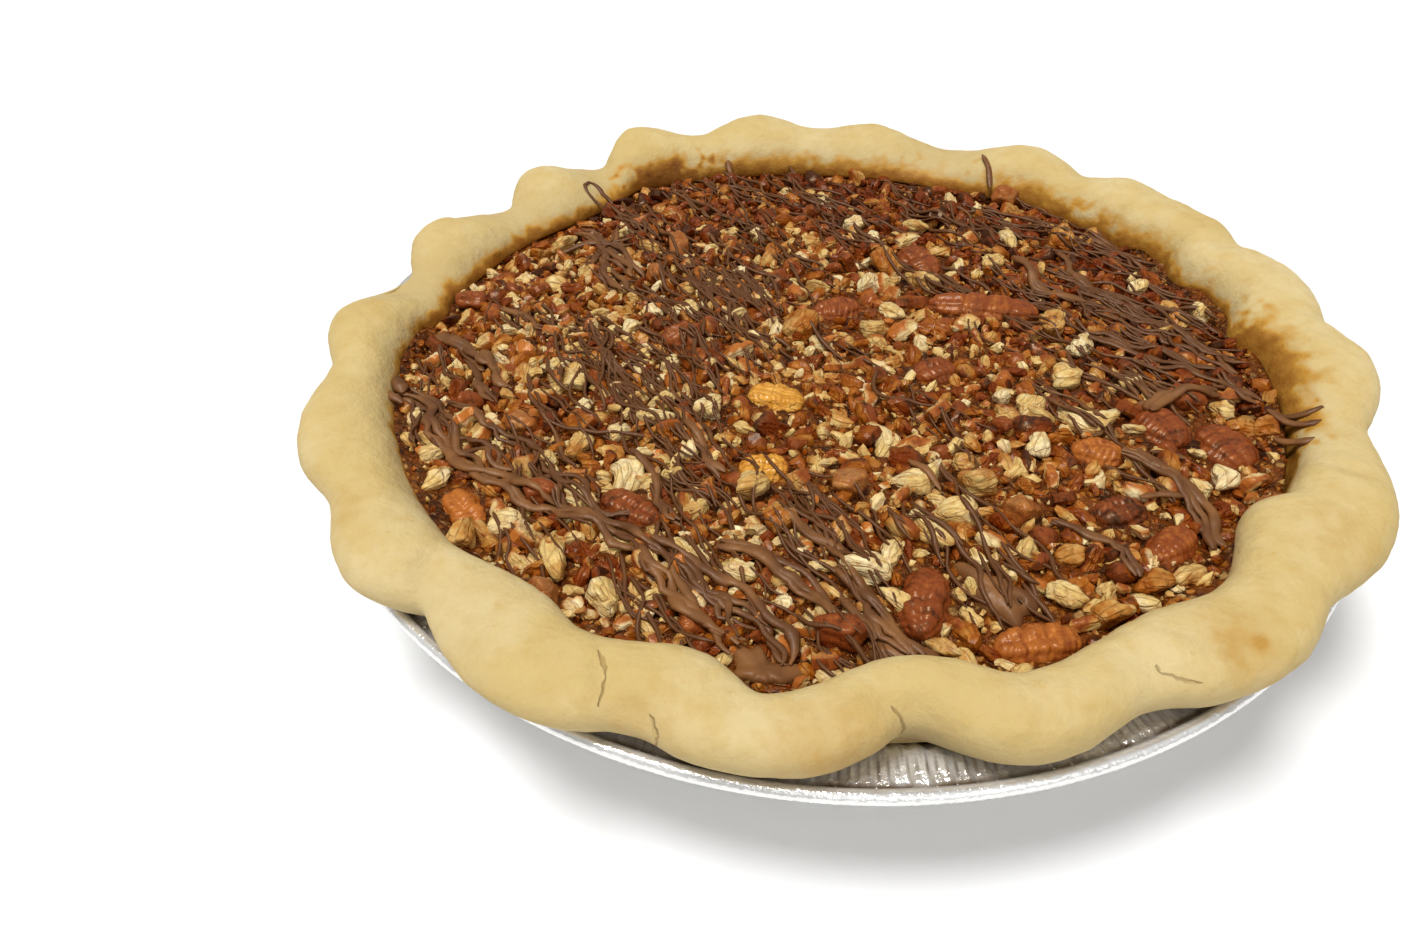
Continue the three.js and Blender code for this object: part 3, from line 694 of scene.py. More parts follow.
# ---------------------------------------------------------------------------------------- the large pecans
# Halves and big broken pieces of pecan. Each has a furrow down its back, a shallower one on each side, and
# blunt ridges across it. The skin has turned red brown in the oven, under a thin glaze of syrup.
# [x, y, length, width, turn, height of the back above the filling, tone of the skin, cross creases]
PECANS = {
    "pecan_01": [43.3, 16.5, 28.5, 10.5, -11, 4.2, 0.60, (-0.35, 0.05, 0.5)],
    "pecan_02": [72.8, -32.3, 13.8, 12.6, -70, 4.0, 0.40, ()],
    "pecan_03": [85.4, -38.3, 14.6, 13, -72, 3.8, 0.44, (-0.4,)],
    "pecan_04": [29.8, -92, 16.5, 9.8, 8, 4.0, 0.86, (-0.32, 0.2)],
    "pecan_05": [62.8, -68, 13.5, 8.6, 38, 3.4, 0.60, ()],
    "pecan_06": [10.8, -82.2, 17.5, 10, 72, 3.8, 0.40, (-0.12,)],
    "pecan_07": [25.6, -10.8, 11.5, 10, 20, 3.2, 0.44, ()],
    "pecan_08": [-81.3, -54.5, 14, 9.5, -55, 3.4, 1.05, (0.1,)],
    "pecan_09": [55.8, -41, 11.5, 9, -10, 3.6, 0.95, ()],
    "pecan_10": [55.2, -59, 12, 9.4, 20, 3.2, 0.20, ()],
    "pecan_11": [-46, -56, 15, 9, -36, 3.2, 0.38, (0.2,)],
    "pecan_12": [31, 41, 16, 11, -70, 3.4, 0.44, (0.0,)],
    "pecan_13": [5, 17, 13.5, 10, 15, 3.2, 0.48, ()],
}
# Pieces that have lost their skin and soaked up syrup until they are amber.
GLAZED_NUTS = {
    "glazed_nut_1": [-13.3, -20.2, 13.5, 10.5, -18, 3.2, 1.0, (-0.2, 0.35)],
    "glazed_nut_2": [-17.6, -45, 11, 9.5, 4, 3.4, 0.84, (0.1,)],
}
PECAN_DEPTH = 3.5
PECAN_TAPER = 0.8
FURROW = (0.20, 0.24)  # down the back: share of the girth, half width in radians
SIDE_FURROWS = (0.09, 0.20)
SIDE_FURROW_AT = 1.05  # radians from the back
CREASE_CUT = (0.16, 0.7)  # a cross crease: share of the girth, half width
PECAN_STATIONS = 56
PECAN_GIRTH = 72
RIDGE_PITCH = 1.55
SKIN_DARK = (0.042, 0.009, 0.003, 1)
SKIN_RED = (0.24, 0.050, 0.010, 1)
SKIN_LIGHT = (0.48, 0.145, 0.022, 1)
FLESH_PALE = (0.92, 0.77, 0.43, 1)
FLESH_CREAM = (0.77, 0.55, 0.20, 1)
FLESH_TAN = (0.53, 0.25, 0.055, 1)
AMBER_TINT = (0.76, 0.46, 0.13, 1)
BROWN_TINT = (0.42, 0.16, 0.055, 1)


def tinted(tree, share, colour, tint):
    """Multiplies a colour by a tint, by a share."""
    made = node(tree, "ShaderNodeMix", {"data_type": "RGBA", "blend_type": "MULTIPLY"}, {0: share, 6: colour, 7: tint})
    return made.outputs[2]


def nut_looks():
    """The look of pecan, inside and out, as a group that every kind of piece shares."""
    tree = bpy.data.node_groups.new("nut_looks", "ShaderNodeTree")
    for name, kind in (("Own place", "Vector"), ("Skin", "Float"), ("Tone", "Float"), ("Syrup_and_shade", "Float")):
        tree.interface.new_socket(name, in_out="INPUT", socket_type="NodeSocket" + kind)
    for name, kind in (("Colour", "Color"), ("Roughness", "Float"), ("Height", "Float")):
        tree.interface.new_socket(name, in_out="OUTPUT", socket_type="NodeSocket" + kind)
    given = node(tree, "NodeGroupInput").outputs
    place, skin, tone, soaked = given["Own place"], given["Skin"], given["Tone"], given["Syrup_and_shade"]
    lengthwise = node(tree, "ShaderNodeMapping", ins={"Vector": place, "Scale": (0.28, 1, 1)}).outputs[0]
    crosswise = node(tree, "ShaderNodeMapping", ins={"Vector": place, "Scale": (1, 0.3, 0.3)}).outputs[0]
    fibres = speckle(tree, lengthwise, 950, 3, 0.6, 0.4)
    wrinkles = speckle(tree, crosswise, 620, 3, 0.6, 0.6)
    crumb = speckle(tree, place, 620, 4, 0.65)
    patches = speckle(tree, place, 190, 3, 0.6)
    shaded_crack = band(tree, cells(tree, lengthwise, 520), 0.0, 0.11, 1, 0)
    veins = plus(tree, times(tree, fibres, 0.4), times(tree, wrinkles, 0.6))
    # the skin's own tone, with painted shade where its veins are low
    shade = plus(tree, tone, band(tree, veins, 0.35, 0.68, -0.38, 0.42))
    bark = coats(tree, SKIN_DARK, (shade, 0.0, 0.42, 1, SKIN_RED), (shade, 0.55, 1.1, 1, SKIN_LIGHT))
    meat_tone = plus(tree, tone, band(tree, patches, 0.35, 0.65, -0.22, 0.18))
    meat = coats(tree, FLESH_TAN, (meat_tone, 0.42, 0.80, 1, FLESH_CREAM), (meat_tone, 0.85, 1.15, 1, FLESH_PALE))
    meat = blend(tree, band(tree, fibres, 0.32, 0.52, 0.6, 0), meat, FLESH_TAN)
    for share, tint in (
            (band(tree, meat_tone, 0.35, 0.78, 1, 0), AMBER_TINT),
            (band(tree, meat_tone, 0.02, 0.42, 0.9, 0), BROWN_TINT),
            # painted shade in the cracks of the broken sides
            (times(tree, shaded_crack, 0.3), BROWN_TINT),
            (band(tree, crumb, 0.26, 0.42, 0.7, 0), AMBER_TINT)):
        meat = tinted(tree, share, meat, tint)
    wet = plus(tree, soaked, band(tree, crumb, 0.35, 0.65, -0.2, 0.2))
    colour = tinted(tree, band(tree, wet, 0.2, 0.7), blend(tree, skin, meat, bark), AMBER_TINT)
    # dark syrup and painted shade: each piece darkens to near black low down, where it sits in the bed
    colour = coats(tree, colour, (wet, 0.5, 1.05, 0.92, SYRUP_DARK_AND_SHADE))
    grain = total(tree, "SUBTRACT", plus(tree, fibres, crumb), times(tree, shaded_crack, 0.5))
    height = blend(tree, skin, grain, veins)
    node(tree, "NodeGroupOutput", ins={
        "Colour": colour, "Roughness": band(tree, crumb, 0.35, 0.65, 0.25, 0.55), "Height": height})
    return tree


NUT_LOOKS = nut_looks()


def nut_material(name, depth=0.35, coat=0.1, tint=None):
    material, tree, shader = new_material(name, **{
        "Coat Weight": coat, "Coat Roughness": 0.12, "Specular IOR Level": 0.5, "Specular Tint": SYRUP_GLOSS})
    looks = node(tree, "ShaderNodeGroup", {"node_tree": NUT_LOOKS}, {
        "Own place": marked(tree, "own", "Vector"), "Skin": marked(tree, "skin"), "Tone": marked(tree, "tone"),
        "Syrup_and_shade": marked(tree, "soaked")}).outputs
    colour = tinted(tree, 1.0, looks["Colour"], tint) if tint else looks["Colour"]
    normal = relief(tree, looks["Height"], depth)
    finish(tree, shader, Base_Color=colour, Roughness=looks["Roughness"], Normal=normal)
    return material


def pecan_half(length, width, high, seed, creases):
    """A piece of pecan that lies along X with its back up, centred on its own middle."""
    along = -np.cos(np.linspace(0, math.pi, PECAN_STATIONS + 1))[1:-1, None]
    phi = (np.arange(PECAN_GIRTH) * 2 * math.pi / PECAN_GIRTH + math.pi) % (2 * math.pi) - math.pi
    phi = phi[None]
    girth = np.sqrt(1 - along**2) ** PECAN_TAPER
    wander = 0.14 * np.sin(3 * along + seed)
    furrow = FURROW[0] * np.exp(-(((phi - wander) / FURROW[1]) ** 2))
    sides = SIDE_FURROWS[0] * np.exp(-(((np.abs(phi) - SIDE_FURROW_AT - wander) / SIDE_FURROWS[1]) ** 2))
    x = along * length / 2
    lean = 1.3 * np.abs(phi) * np.sign(np.cos(seed))
    places = np.stack([x + 0 * phi, 3 * np.sin(phi) + 0 * x, 3 * np.cos(phi) + 0 * x], 2).reshape(-1, 3)
    warp = lumps(places, 4.5, seed + 3).reshape(len(along), PECAN_GIRTH)
    ridge = np.abs(np.sin(math.pi * (x + lean + 0.8 * warp) / RIDGE_PITCH))  # blunt tops, narrow valleys
    back = smooth((np.cos(phi) + 0.35) / 0.6)
    shape = girth * (1 - furrow - sides) * (1 + 0.02 * np.sin(4 * phi + seed))
    for place in creases:
        bowed = place + 0.05 * np.cos(phi * 2 + seed)
        shape = shape * (1 - CREASE_CUT[0] * np.exp(-(((along - bowed) * length / 2 / CREASE_CUT[1]) ** 2)))
    across = np.sin(phi) * shape * width / 2
    up = np.cos(phi) * shape * high / 2
    points = np.stack([x + 0 * phi, across, up], 2)
    flat = points.reshape(-1, 3)
    bumps = (0.36 * (ridge - 0.85) * back * girth + 0.30 * lumps(flat, 3.6, seed).reshape(ridge.shape)
             + 0.12 * lumps(flat, 1.4, seed + 1).reshape(ridge.shape))
    outward = np.stack([0 * across + 0 * x, np.sin(phi) + 0 * x, np.cos(phi) + 0 * x], 2)
    points = points + np.minimum(bumps, 0.12)[..., None] * outward * smooth(girth * 1.6)[..., None]
    ends = np.array([[-length / 2, 0, 0], [length / 2, 0, 0]])
    rows, count = len(along), PECAN_GIRTH
    faces = []
    for j in range(count):
        after = (j + 1) % count
        faces.append((0, 2 + j, 2 + after))
        faces.append((1, 2 + (rows - 1) * count + after, 2 + (rows - 1) * count + j))
        for i in range(rows - 1):
            a, b = 2 + i * count, 2 + (i + 1) * count
            faces.append((a + j, b + j, b + after, a + after))
    return np.vstack([ends, points.reshape(-1, 3)]), faces


def laid(points, x, y, turn, z, tilt=0.0, roll=0.0):
    """Own points turned and put in place."""
    spin = Matrix.Rotation(math.radians(turn), 3, "Z") @ Matrix.Rotation(math.radians(tilt), 3, "Y")
    spin = spin @ Matrix.Rotation(math.radians(roll), 3, "X")
    return points @ np.array(spin).T + (x, y, z)


def syrup_and_shade_at(points):
    """1 where syrup stands, 0 on what rises clear of it. The dark that this gives a piece's base is partly painted
    shade.
    """
    return 1 - smooth((points[:, 2] - bed_top(points[:, 0], points[:, 1]) + 0.6) / 1.9)


def mark(made, **values):
    """Gives each point of a mesh its values: its own place on its nut as a vector, others as numbers."""
    for key, value in values.items():
        value = np.asarray(value, np.float32)
        kind, field = ("FLOAT_VECTOR", "vector") if value.ndim == 2 else ("FLOAT", "value")
        if value.ndim == 0:
            value = np.full(len(made.data.vertices), value)
        made.data.attributes.new(key, kind, "POINT").data.foreach_set(field, value.ravel())


pecan_skin = nut_material("pecan_skin", 0.35, 0.15)
amber_nut = nut_material("amber_nut", 0.3, 0.4, (1.0, 0.66, 0.22, 1))
for number, (name, (x, y, length, width, turn, back, tone, creases)) in enumerate({**PECANS, **GLAZED_NUTS}.items()):
    skinned = name in PECANS
    high = back + PECAN_DEPTH
    own, faces = pecan_half(length, width, high, number * 1.7, creases)
    points = laid(own, x, y, turn, filling_top(x, y) + back - high / 2)
    pecan = piece("large_" + name, points, faces, pecan_skin if skinned else amber_nut)
    mark(pecan, own=(own + (number * 40, 0, 0)) * MM, skin=float(skinned), tone=tone, soaked=syrup_and_shade_at(points))
    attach(pecan, "root")
    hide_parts(name)


# ---------------------------------------------------------------------------------------- the chopped pecans
# The rest of the nuts are chopped: lumps and slivers broken from a half, slices cut across it, smaller
# bits, and crumbs between them. Some show red brown skin and most show cream, tan or syrupy broken sides.
CHOPPED_KINDS = {
    # kind: [how many shapes, length, width, height, share with skin, fineness]
    "lump": [16, (4.8, 8.2), (3.0, 5.2), (2.8, 4.4), 0.55, 3],
    "sliver": [10, (6.5, 11), (2.0, 3.2), (1.8, 2.6), 0.3, 3],
    "bit": [18, (3.0, 6.0), (1.6, 3.0), (1.4, 2.5), 0.5, 2],
    "crumb": [14, (1.4, 3.2), (0.8, 1.6), (0.6, 1.2), 0.3, 1],
}
BROKEN_EDGE = 32  # degrees between faces at which a broken edge is sharp
NUT_FULLNESS = 2.6  # 2 is an ellipsoid, and more is squarer
SLICE_SHAPES = 6
SLICE_SIDES = 24
# Layers of strewn pieces: [kinds, spacing, room to the pastry, tilt in degrees, lift range, size range, seed,
# how much syrup they have soaked up]
LAYERS = {
    "chopped_lumps": [("lump", "slice"), 5.8, 2.2, 50, (-1.0, 0.5), (0.9, 1.4), 3, 0.0],
    "chopped_slivers": [("sliver",), 7.6, 2.0, 35, (-0.2, 1.0), (0.85, 1.25), 13, 0.0],
    "chopped_bits": [("bit",), 3.15, 1.0, 60, (-0.8, 0.8), (0.9, 1.45), 8, 0.08],
    "nut_crumbs": [("crumb",), 1.9, 0.5, 80, (-0.3, 0.7), (0.7, 1.3), 5, 0.25],
}
# Pieces that stand out, by their look: (skin, tone)
STANDOUT_LOOKS = {
    "white": (0.0, 1.12), "cream": (0.0, 0.96), "yellow": (0.0, 0.84), "tan": (0.15, 0.74), "olive": (0.35, 0.72),
    "orange": (0.1, 0.50), "amber": (0.0, 0.62), "brown": (0.8, 0.62), "red": (1.0, 0.46), "maroon": (1.0, 0.22),
}
# [x, y, length, width, turn, shape, look]
STANDOUTS = [
    [-42, -27.5, 12.5, 4, 4, "stick", "cream"],
    [-61, -12.5, 9, 6, -18, "fan", "yellow"],
    [-67, -6.5, 8, 4, 50, "fan", "yellow"],
    [-49.5, -17, 6, 4.5, -30, "lump", "white"],
    [-45, -7.5, 7.5, 4.5, 20, "fan", "cream"],
    [-38, -7.5, 7, 5, 70, "lump", "cream"],
    [-58, -22, 7, 4, 80, "lump", "white"],
    [-58, -36, 11, 6, 75, "fan", "tan"],
    [-47, -47, 9, 6.5, 100, "curl", "cream"],
    [-37, -47.5, 5, 4.5, 10, "lump", "cream"],
    [-21, -52.5, 8.5, 7, 15, "lump", "yellow"],
    [-29, -25, 8, 7, 40, "slice", "white"],
    [-61, -69, 14.5, 5, -77, "stick", "yellow"],
    [-50, -80, 12.5, 7, -62, "fan", "cream"],
    [-70.5, -60.5, 9, 6.5, -5, "block", "cream"],
    [-79, -64, 9.5, 6.5, 85, "block", "tan"],
    [-91, -36.5, 7, 5.5, 35, "fan", "cream"],
    [-97.5, -24.5, 7, 4.5, 50, "fan", "cream"],
    [-88.5, -46, 11, 6, 52, "fan", "cream"],
    [-34, -69.5, 10, 4.5, -32, "stick", "cream"],
    [-24.5, -74, 9, 5, -25, "fan", "cream"],
    [-15, -76, 6, 4.5, 30, "fan", "yellow"],
    [-7.5, -86, 11, 3.4, -62, "stick", "cream"],
    [5.5, -82, 8.5, 4, -30, "stick", "cream"],
    [9, -38, 12.5, 5.5, 88, "curl", "cream"],
    [15, -49, 12, 6.5, 8, "curl", "cream"],
    [22, -59, 10.5, 7, 32, "curl", "cream"],
    [27, -52.5, 8.5, 7.5, 10, "lump", "olive"],
    [15, -65, 13.5, 5.5, -58, "stick", "yellow"],
    [0.5, -75, 9.5, 7.5, -20, "block", "white"],
    [38.2, -81.5, 8.5, 6, -28, "block", "cream"],
    [39, -22.5, 5.5, 4, 60, "lump", "white"],
    [44, -26.5, 8, 6.5, 50, "lump", "cream"],
    [57.2, -31.5, 13, 7.5, -12, "curl", "cream"],
    [45.5, -29.5, 9, 5.5, -30, "curl", "tan"],
    [66, -33.5, 5, 3.5, -45, "lump", "cream"],
    [43, -39.5, 7, 6, 60, "fan", "white"],
    [79.5, -49.5, 9.5, 5.5, 78, "curl", "white"],
    [74, -53.5, 6, 4.5, -60, "lump", "cream"],
    [63.5, -1.5, 14.5, 4.6, 54, "stick", "white"],
    [71, -16, 12.5, 3.6, 40, "stick", "cream"],
    [56, -15.5, 8.5, 7.5, 20, "fan", "yellow"],
    [90, -25.5, 7, 5, -15, "fan", "yellow"],
    [98.5, 13, 7.5, 6.5, 30, "lump", "cream"],
    [89, 32, 9.5, 4.5, 35, "fan", "yellow"],
    [87, 25.5, 6, 5.5, 80, "lump", "cream"],
    [58, 53, 20, 4, 84, "stick", "cream"],
    [51, 38, 9.5, 5.5, 18, "block", "yellow"],
    [29, 28.5, 9.5, 7.5, -20, "fan", "tan"],
    [15, 26.5, 8.5, 6, 65, "lump", "white"],
    [19, 14.5, 10, 4, -64, "stick", "cream"],
    [13.5, 6.5, 9, 5.5, -8, "curl", "yellow"],
    [-34, 16.5, 9.5, 6, 30, "fan", "cream"],
    [-3.5, 84, 4.5, 4, 0, "lump", "cream"],
    [7, 77, 9, 5.5, 75, "fan", "cream"],
    [46, 75, 10.5, 4, 80, "stick", "cream"],
    [53.5, 72.5, 7, 4, 70, "fan", "cream"],
    [15, 60, 6.5, 5.5, 10, "lump", "cream"],
    [19.5, 53, 10, 3.2, 85, "stick", "white"],
    [33, 59, 8, 6.5, -30, "fan", "yellow"],
    [-13.5, 54, 5.5, 5, 30, "lump", "cream"],
    [-27, 47.5, 4.5, 4, 0, "lump", "cream"],
    [-19.5, 34.5, 4.5, 4, 40, "lump", "white"],
    [-58, 70, 9, 3.2, 75, "stick", "cream"],
    [-52, 66, 9, 3.2, 65, "stick", "cream"],
    [-52, 60, 6.5, 4, 80, "lump", "cream"],
    [-70, 55, 8.5, 6.5, 20, "fan", "tan"],
    [-67.5, 41, 5.5, 3.2, 80, "lump", "cream"],
    [-57, 16.5, 5.5, 4, 10, "fan", "cream"],
    [-48.5, 9, 6, 5, 45, "lump", "cream"],
    [12.6, -92.5, 10, 3, -42, "stick", "tan"],
    [18.5, -86.5, 5.5, 3.4, -60, "lump", "yellow"],
    [19.8, -79.5, 5.5, 3.4, -70, "lump", "cream"],
    [52.5, -50.5, 7.5, 3.2, 25, "curl", "cream"],
    [63.5, -76, 10, 3.6, 26, "stick", "tan"],
    [65, -19, 6, 4, -20, "fan", "yellow"],
    [-35, 3, 10.5, 8.5, 30, "lump", "red"],
    [-37, 50.5, 15, 6, 84, "lump", "brown"],
    [-43, 34, 8.5, 6, 75, "lump", "brown"],
    [-92, 24.5, 7.5, 7, 0, "lump", "red"],
    [-76, 49, 6, 5, 0, "lump", "orange"],
    [-5, 6, 10, 8, 60, "lump", "orange"],
    [21, 38, 11, 8.5, 85, "lump", "orange"],
    [63, 76, 10, 8.5, 0, "lump", "brown"],
    [73, 50, 10, 8, 60, "lump", "orange"],
    [58, 6, 12, 7, 58, "lump", "amber"],
    [41.5, -71.5, 6, 4.5, 20, "lump", "orange"],
    [36.5, -33, 5.5, 4.5, 80, "lump", "red"],
    [82, -23.5, 8, 6, 10, "lump", "red"],
    [-86, -21, 8, 7, 20, "lump", "red"],
    [-72, -30, 9, 6, -40, "lump", "brown"],
    [-65, -52, 9, 6.5, -10, "lump", "red"],
    [-15, -62, 9, 7, 35, "lump", "orange"],
    [-62, -80.5, 8, 7, 40, "lump", "brown"],
    [-6, -90, 10, 7, -20, "lump", "red"],
    [35, -60, 9, 7, 20, "lump", "brown"],
    [0, -52, 9, 7, -30, "lump", "brown"],
    [85, -60, 8, 6, 60, "lump", "brown"],
    [45, -86.5, 8, 6, 20, "lump", "amber"],
    [55, -79, 8, 6, 0, "lump", "orange"],
]
STANDOUT_SHAPES = {
    # shape: [height over width, planes that cut it, ridges' depth, bend over length, curl over length]
    "lump": [0.80, 7, 0.07, 0.00, 0.00],
    "block": [0.70, 9, 0.05, 0.00, 0.00],
    "stick": [0.80, 6, 0.09, 0.03, 0.05],
    "fan": [0.62, 7, 0.085, 0.04, 0.08],
    "curl": [0.70, 5, 0.07, 0.12, 0.32],
    "slice": [0.60, 5, 0.07, 0.00, 0.00],
}
STANDOUT_SIZE = 1.1
STANDOUT_LIFT = 0.26  # how far a piece's middle lies above the bed, over its height
STANDOUT_TILT = 12  # degrees at most, along a piece
STANDOUT_ROLL = 35  # and across it
PALEST_TONE = 1.12
STEEPED = 0.36  # how much less cream shows where the nuts are steeped in syrup
STREW_DENSITY = 6e5  # pieces tried on each square metre, before the spacing thins them


def ball(fine):
    """Directions all round, and the faces between them."""
    shape = bmesh.new()
    bmesh.ops.create_icosphere(shape, subdivisions=fine, radius=1)
    ways = np.array([vertex.co for vertex in shape.verts])
    faces = [tuple(vertex.index for vertex in face.verts) for face in shape.faces]
    shape.free()
    return ways, faces


BALLS = {fine: ball(fine) for fine in (1, 2, 3, 4)}


def broken_nut(draw, length, width, height, fine, cuts=6, ridge=0.1, bend=0.0, curl=0.0):
    """A broken piece along X: a rounded back, flat broken sides, fibres along it. Points, faces, skin."""
    ways, faces = BALLS[fine]
    half = np.array([length, width, height]) / 2
    rounded = 1 / (np.abs(ways / half) ** NUT_FULLNESS).sum(1) ** (1 / NUT_FULLNESS)
    flat = np.full(len(ways), 1e3)
    for _ in range(cuts):
        facing = draw.normal(size=3) * (0.7, 1.0, 0.8)
        facing[2] = -0.2 * abs(facing[2]) if draw.uniform() < 0.5 else facing[2]
        facing /= np.linalg.norm(facing)
        reach = np.linalg.norm(facing * half) * draw.uniform(0.48, 0.85)
        toward = ways @ facing
        flat = np.where(toward > 0.05, np.minimum(flat, reach / np.maximum(toward, 0.05)), flat)
    sharp = 12.0 if fine > 2 else 30.0
    radius = (rounded ** -sharp + flat ** -sharp) ** (-1 / sharp)
    points = ways * radius[:, None]
    skin = smooth((flat - rounded) / (0.16 * width) + 0.5) * smooth((ways[:, 2] + 0.5) / 0.3)
    salt = draw.uniform(0, 50)
    heading = draw.uniform(0, math.pi)
    across = points[:, 1] * math.cos(heading) + points[:, 2] * math.sin(heading)
    warp = lumps(points, 0.45 * width, salt)
    pitch = max(0.28 * width, 0.9)
    fibre = np.abs(np.sin(math.pi * (across + 0.7 * warp) / pitch)) - 0.6
    rough = 0.11 * width * warp + 0.06 * width * lumps(points, 0.2 * width, salt + 3)
    points = points * (1 + (ridge * width * fibre * 0.5 + rough) / np.maximum(radius, 0.3))[:, None]
    own = points.copy()
    share = points[:, 0] / half[0]
    points[:, 2] -= bend * length * share**2
    points[:, 1] += curl * length * (share**2 - 0.3)
    return points, own, faces, skin


def cross_slice(draw):
    """A slice cut across a half, along Z: cream inside, with the skin round its lobed edge."""
    wide, high, thick = draw.uniform(3.4, 5.0), draw.uniform(2.4, 3.4), draw.uniform(1.6, 2.8)
    phi = np.arange(SLICE_SIDES) * 2 * math.pi / SLICE_SIDES
    from_back = (phi - math.pi / 2 + math.pi) % (2 * math.pi) - math.pi
    from_front = (phi + math.pi / 2 + math.pi) % (2 * math.pi) - math.pi
    reach = 1 - 0.30 * np.exp(-((from_back / 0.33) ** 2)) - 0.55 * np.exp(-((from_front / 0.40) ** 2))
    reach += 0.10 * np.cos(5 * phi + draw.uniform(0, 6)) + 0.05 * draw.normal(size=SLICE_SIDES)
    x, y = np.cos(phi) * reach * wide, np.sin(phi) * reach * high
    if draw.uniform() < 0.5:
        x = np.maximum(x, -0.25 * wide)  # one lobe alone
    rings = []
    for share, scale in ((-0.5, 0.5), (-0.5, 0.84), (-0.3, 1.0), (0.3, 1.0), (0.5, 0.84), (0.5, 0.5)):
        z = share * thick + 0.22 * draw.normal(size=SLICE_SIDES) * (abs(share) > 0.4)
        rings.append(np.stack([x * scale, y * scale, z], 1))
    low, high_ring = rings[0].mean(0), rings[-1].mean(0)
    points = np.vstack([low, high_ring, *rings])
    faces = []
    for j in range(SLICE_SIDES):
        k = (j + 1) % SLICE_SIDES
        faces += [(0, 2 + k, 2 + j), (1, 2 + 5 * SLICE_SIDES + j, 2 + 5 * SLICE_SIDES + k)]
        for ring in range(5):
            a, b = 2 + ring * SLICE_SIDES, 2 + (ring + 1) * SLICE_SIDES
            faces.append((a + j, a + k, b + k, b + j))
    skin = np.r_[0, 0, np.repeat([0.0, 0.25, 1.0, 1.0, 0.25, 0.0], SLICE_SIDES)]
    return points, points.copy(), faces, skin


def chopped_shape(name, points, own, faces, skin):
    """A hidden object that the scatter picks from."""
    mesh = bpy.data.meshes.new(name)
    mesh.from_pydata((points * MM).tolist(), [], faces)
    mesh.shade_smooth()
    mesh.set_sharp_from_angle(angle=math.radians(BROKEN_EDGE))
    made = bpy.data.objects.new(name, mesh)
    mark(made, own=own * MM, skin=skin)
    return made


def chopped_shapes():
    draw = np.random.default_rng(21)
    kinds = {"slice": [chopped_shape(f"slice_{i}", *cross_slice(draw)) for i in range(SLICE_SHAPES)]}
    for kind, (count, length, width, height, skinned, fine) in CHOPPED_KINDS.items():
        kinds[kind] = []
        for i in range(count):
            size = [draw.uniform(*side) for side in (length, width, height)]
            cuts, ridge = draw.integers(4, 9), draw.uniform(0.03, 0.14)
            bend, curl = draw.uniform(0, 0.08), draw.uniform(-0.15, 0.15)
            points, own, faces, skin = broken_nut(draw, *size, fine, cuts, ridge, bend, curl)
            skin = skin * (i < skinned * count)
            kinds[kind].append(chopped_shape(f"{kind}_{i}", points, own + (i * 30, 0, 0), faces, skin))
    return kinds


def scatter_tree():
    """Geometry nodes that strew pieces over a surface, evenly but not in rows."""
    tree = bpy.data.node_groups.new("strew_pieces", "GeometryNodeTree")
    for name, kind in (("Surface", "Geometry"), ("Pieces", "Collection"), ("Count", "Int"), ("Spacing", "Float"),
                       ("Tilt", "Float"), ("Lowest", "Float"), ("Highest", "Float"), ("Smallest", "Float"),
                       ("Largest", "Float"), ("Seed", "Int"), ("Material", "Material")):
        tree.interface.new_socket(name, in_out="INPUT", socket_type="NodeSocket" + kind)
    tree.interface.new_socket("Pieces", in_out="OUTPUT", socket_type="NodeSocketGeometry")
    given = node(tree, "NodeGroupInput").outputs

    def chance(kind, low, high, salt):
        start = {"FLOAT_VECTOR": 0, "FLOAT": 2, "INT": 4}[kind]
        seed = plus(tree, given["Seed"], salt)
        made = node(tree, "FunctionNodeRandomValue", {"data_type": kind}, {start: low, start + 1: high, 8: seed})
        return made.outputs[{"FLOAT_VECTOR": 0, "FLOAT": 1, "INT": 2}[kind]]

    def vector(x, y, z):
        return node(tree, "ShaderNodeCombineXYZ", ins={0: x, 1: y, 2: z}).outputs[0]

    room = node(tree, "GeometryNodeInputNamedAttribute", {"data_type": "FLOAT"}, {"Name": "room"}).outputs[0]
    points = node(tree, "GeometryNodeDistributePointsOnFaces", {"distribute_method": "POISSON"}, {
        "Mesh": given["Surface"], "Distance Min": given["Spacing"], "Density Max": STREW_DENSITY,
        "Density Factor": room, "Seed": given["Seed"]}).outputs["Points"]
    lift = vector(0.0, 0.0, chance("FLOAT", given["Lowest"], given["Highest"], 11))
    points = node(tree, "GeometryNodeSetPosition", ins={"Geometry": points, "Offset": lift}).outputs[0]
    pool = node(tree, "GeometryNodeCollectionInfo", ins={
        "Collection": given["Pieces"], "Separate Children": True, "Reset Children": True}).outputs[0]
    last = total(tree, "SUBTRACT", given["Count"], 1.0)
    less = times(tree, given["Tilt"], -1.0)
    turn = vector(chance("FLOAT", less, given["Tilt"], 23), chance("FLOAT", less, given["Tilt"], 31),
                  chance("FLOAT", 0.0, 2 * math.pi, 47))
    size = chance("FLOAT", given["Smallest"], given["Largest"], 53)
    strewn = node(tree, "GeometryNodeInstanceOnPoints", ins={
        "Points": points, "Instance": pool, "Pick Instance": True, "Instance Index": chance("INT", 0, last, 61),
        "Rotation": turn, "Scale": size}).outputs[0]
    toned = node(tree, "GeometryNodeStoreNamedAttribute", {"data_type": "FLOAT", "domain": "INSTANCE"}, {
        "Geometry": strewn, "Name": "tone", "Value": chance("FLOAT", 0.0, PALEST_TONE, 71)}).outputs[0]
    real = node(tree, "GeometryNodeRealizeInstances", ins={"Geometry": toned}).outputs[0]
    finished = node(tree, "GeometryNodeSetMaterial", ins={"Geometry": real, "Material": given["Material"]}).outputs[0]
    node(tree, "NodeGroupOutput", ins={"Pieces": finished})
    return tree


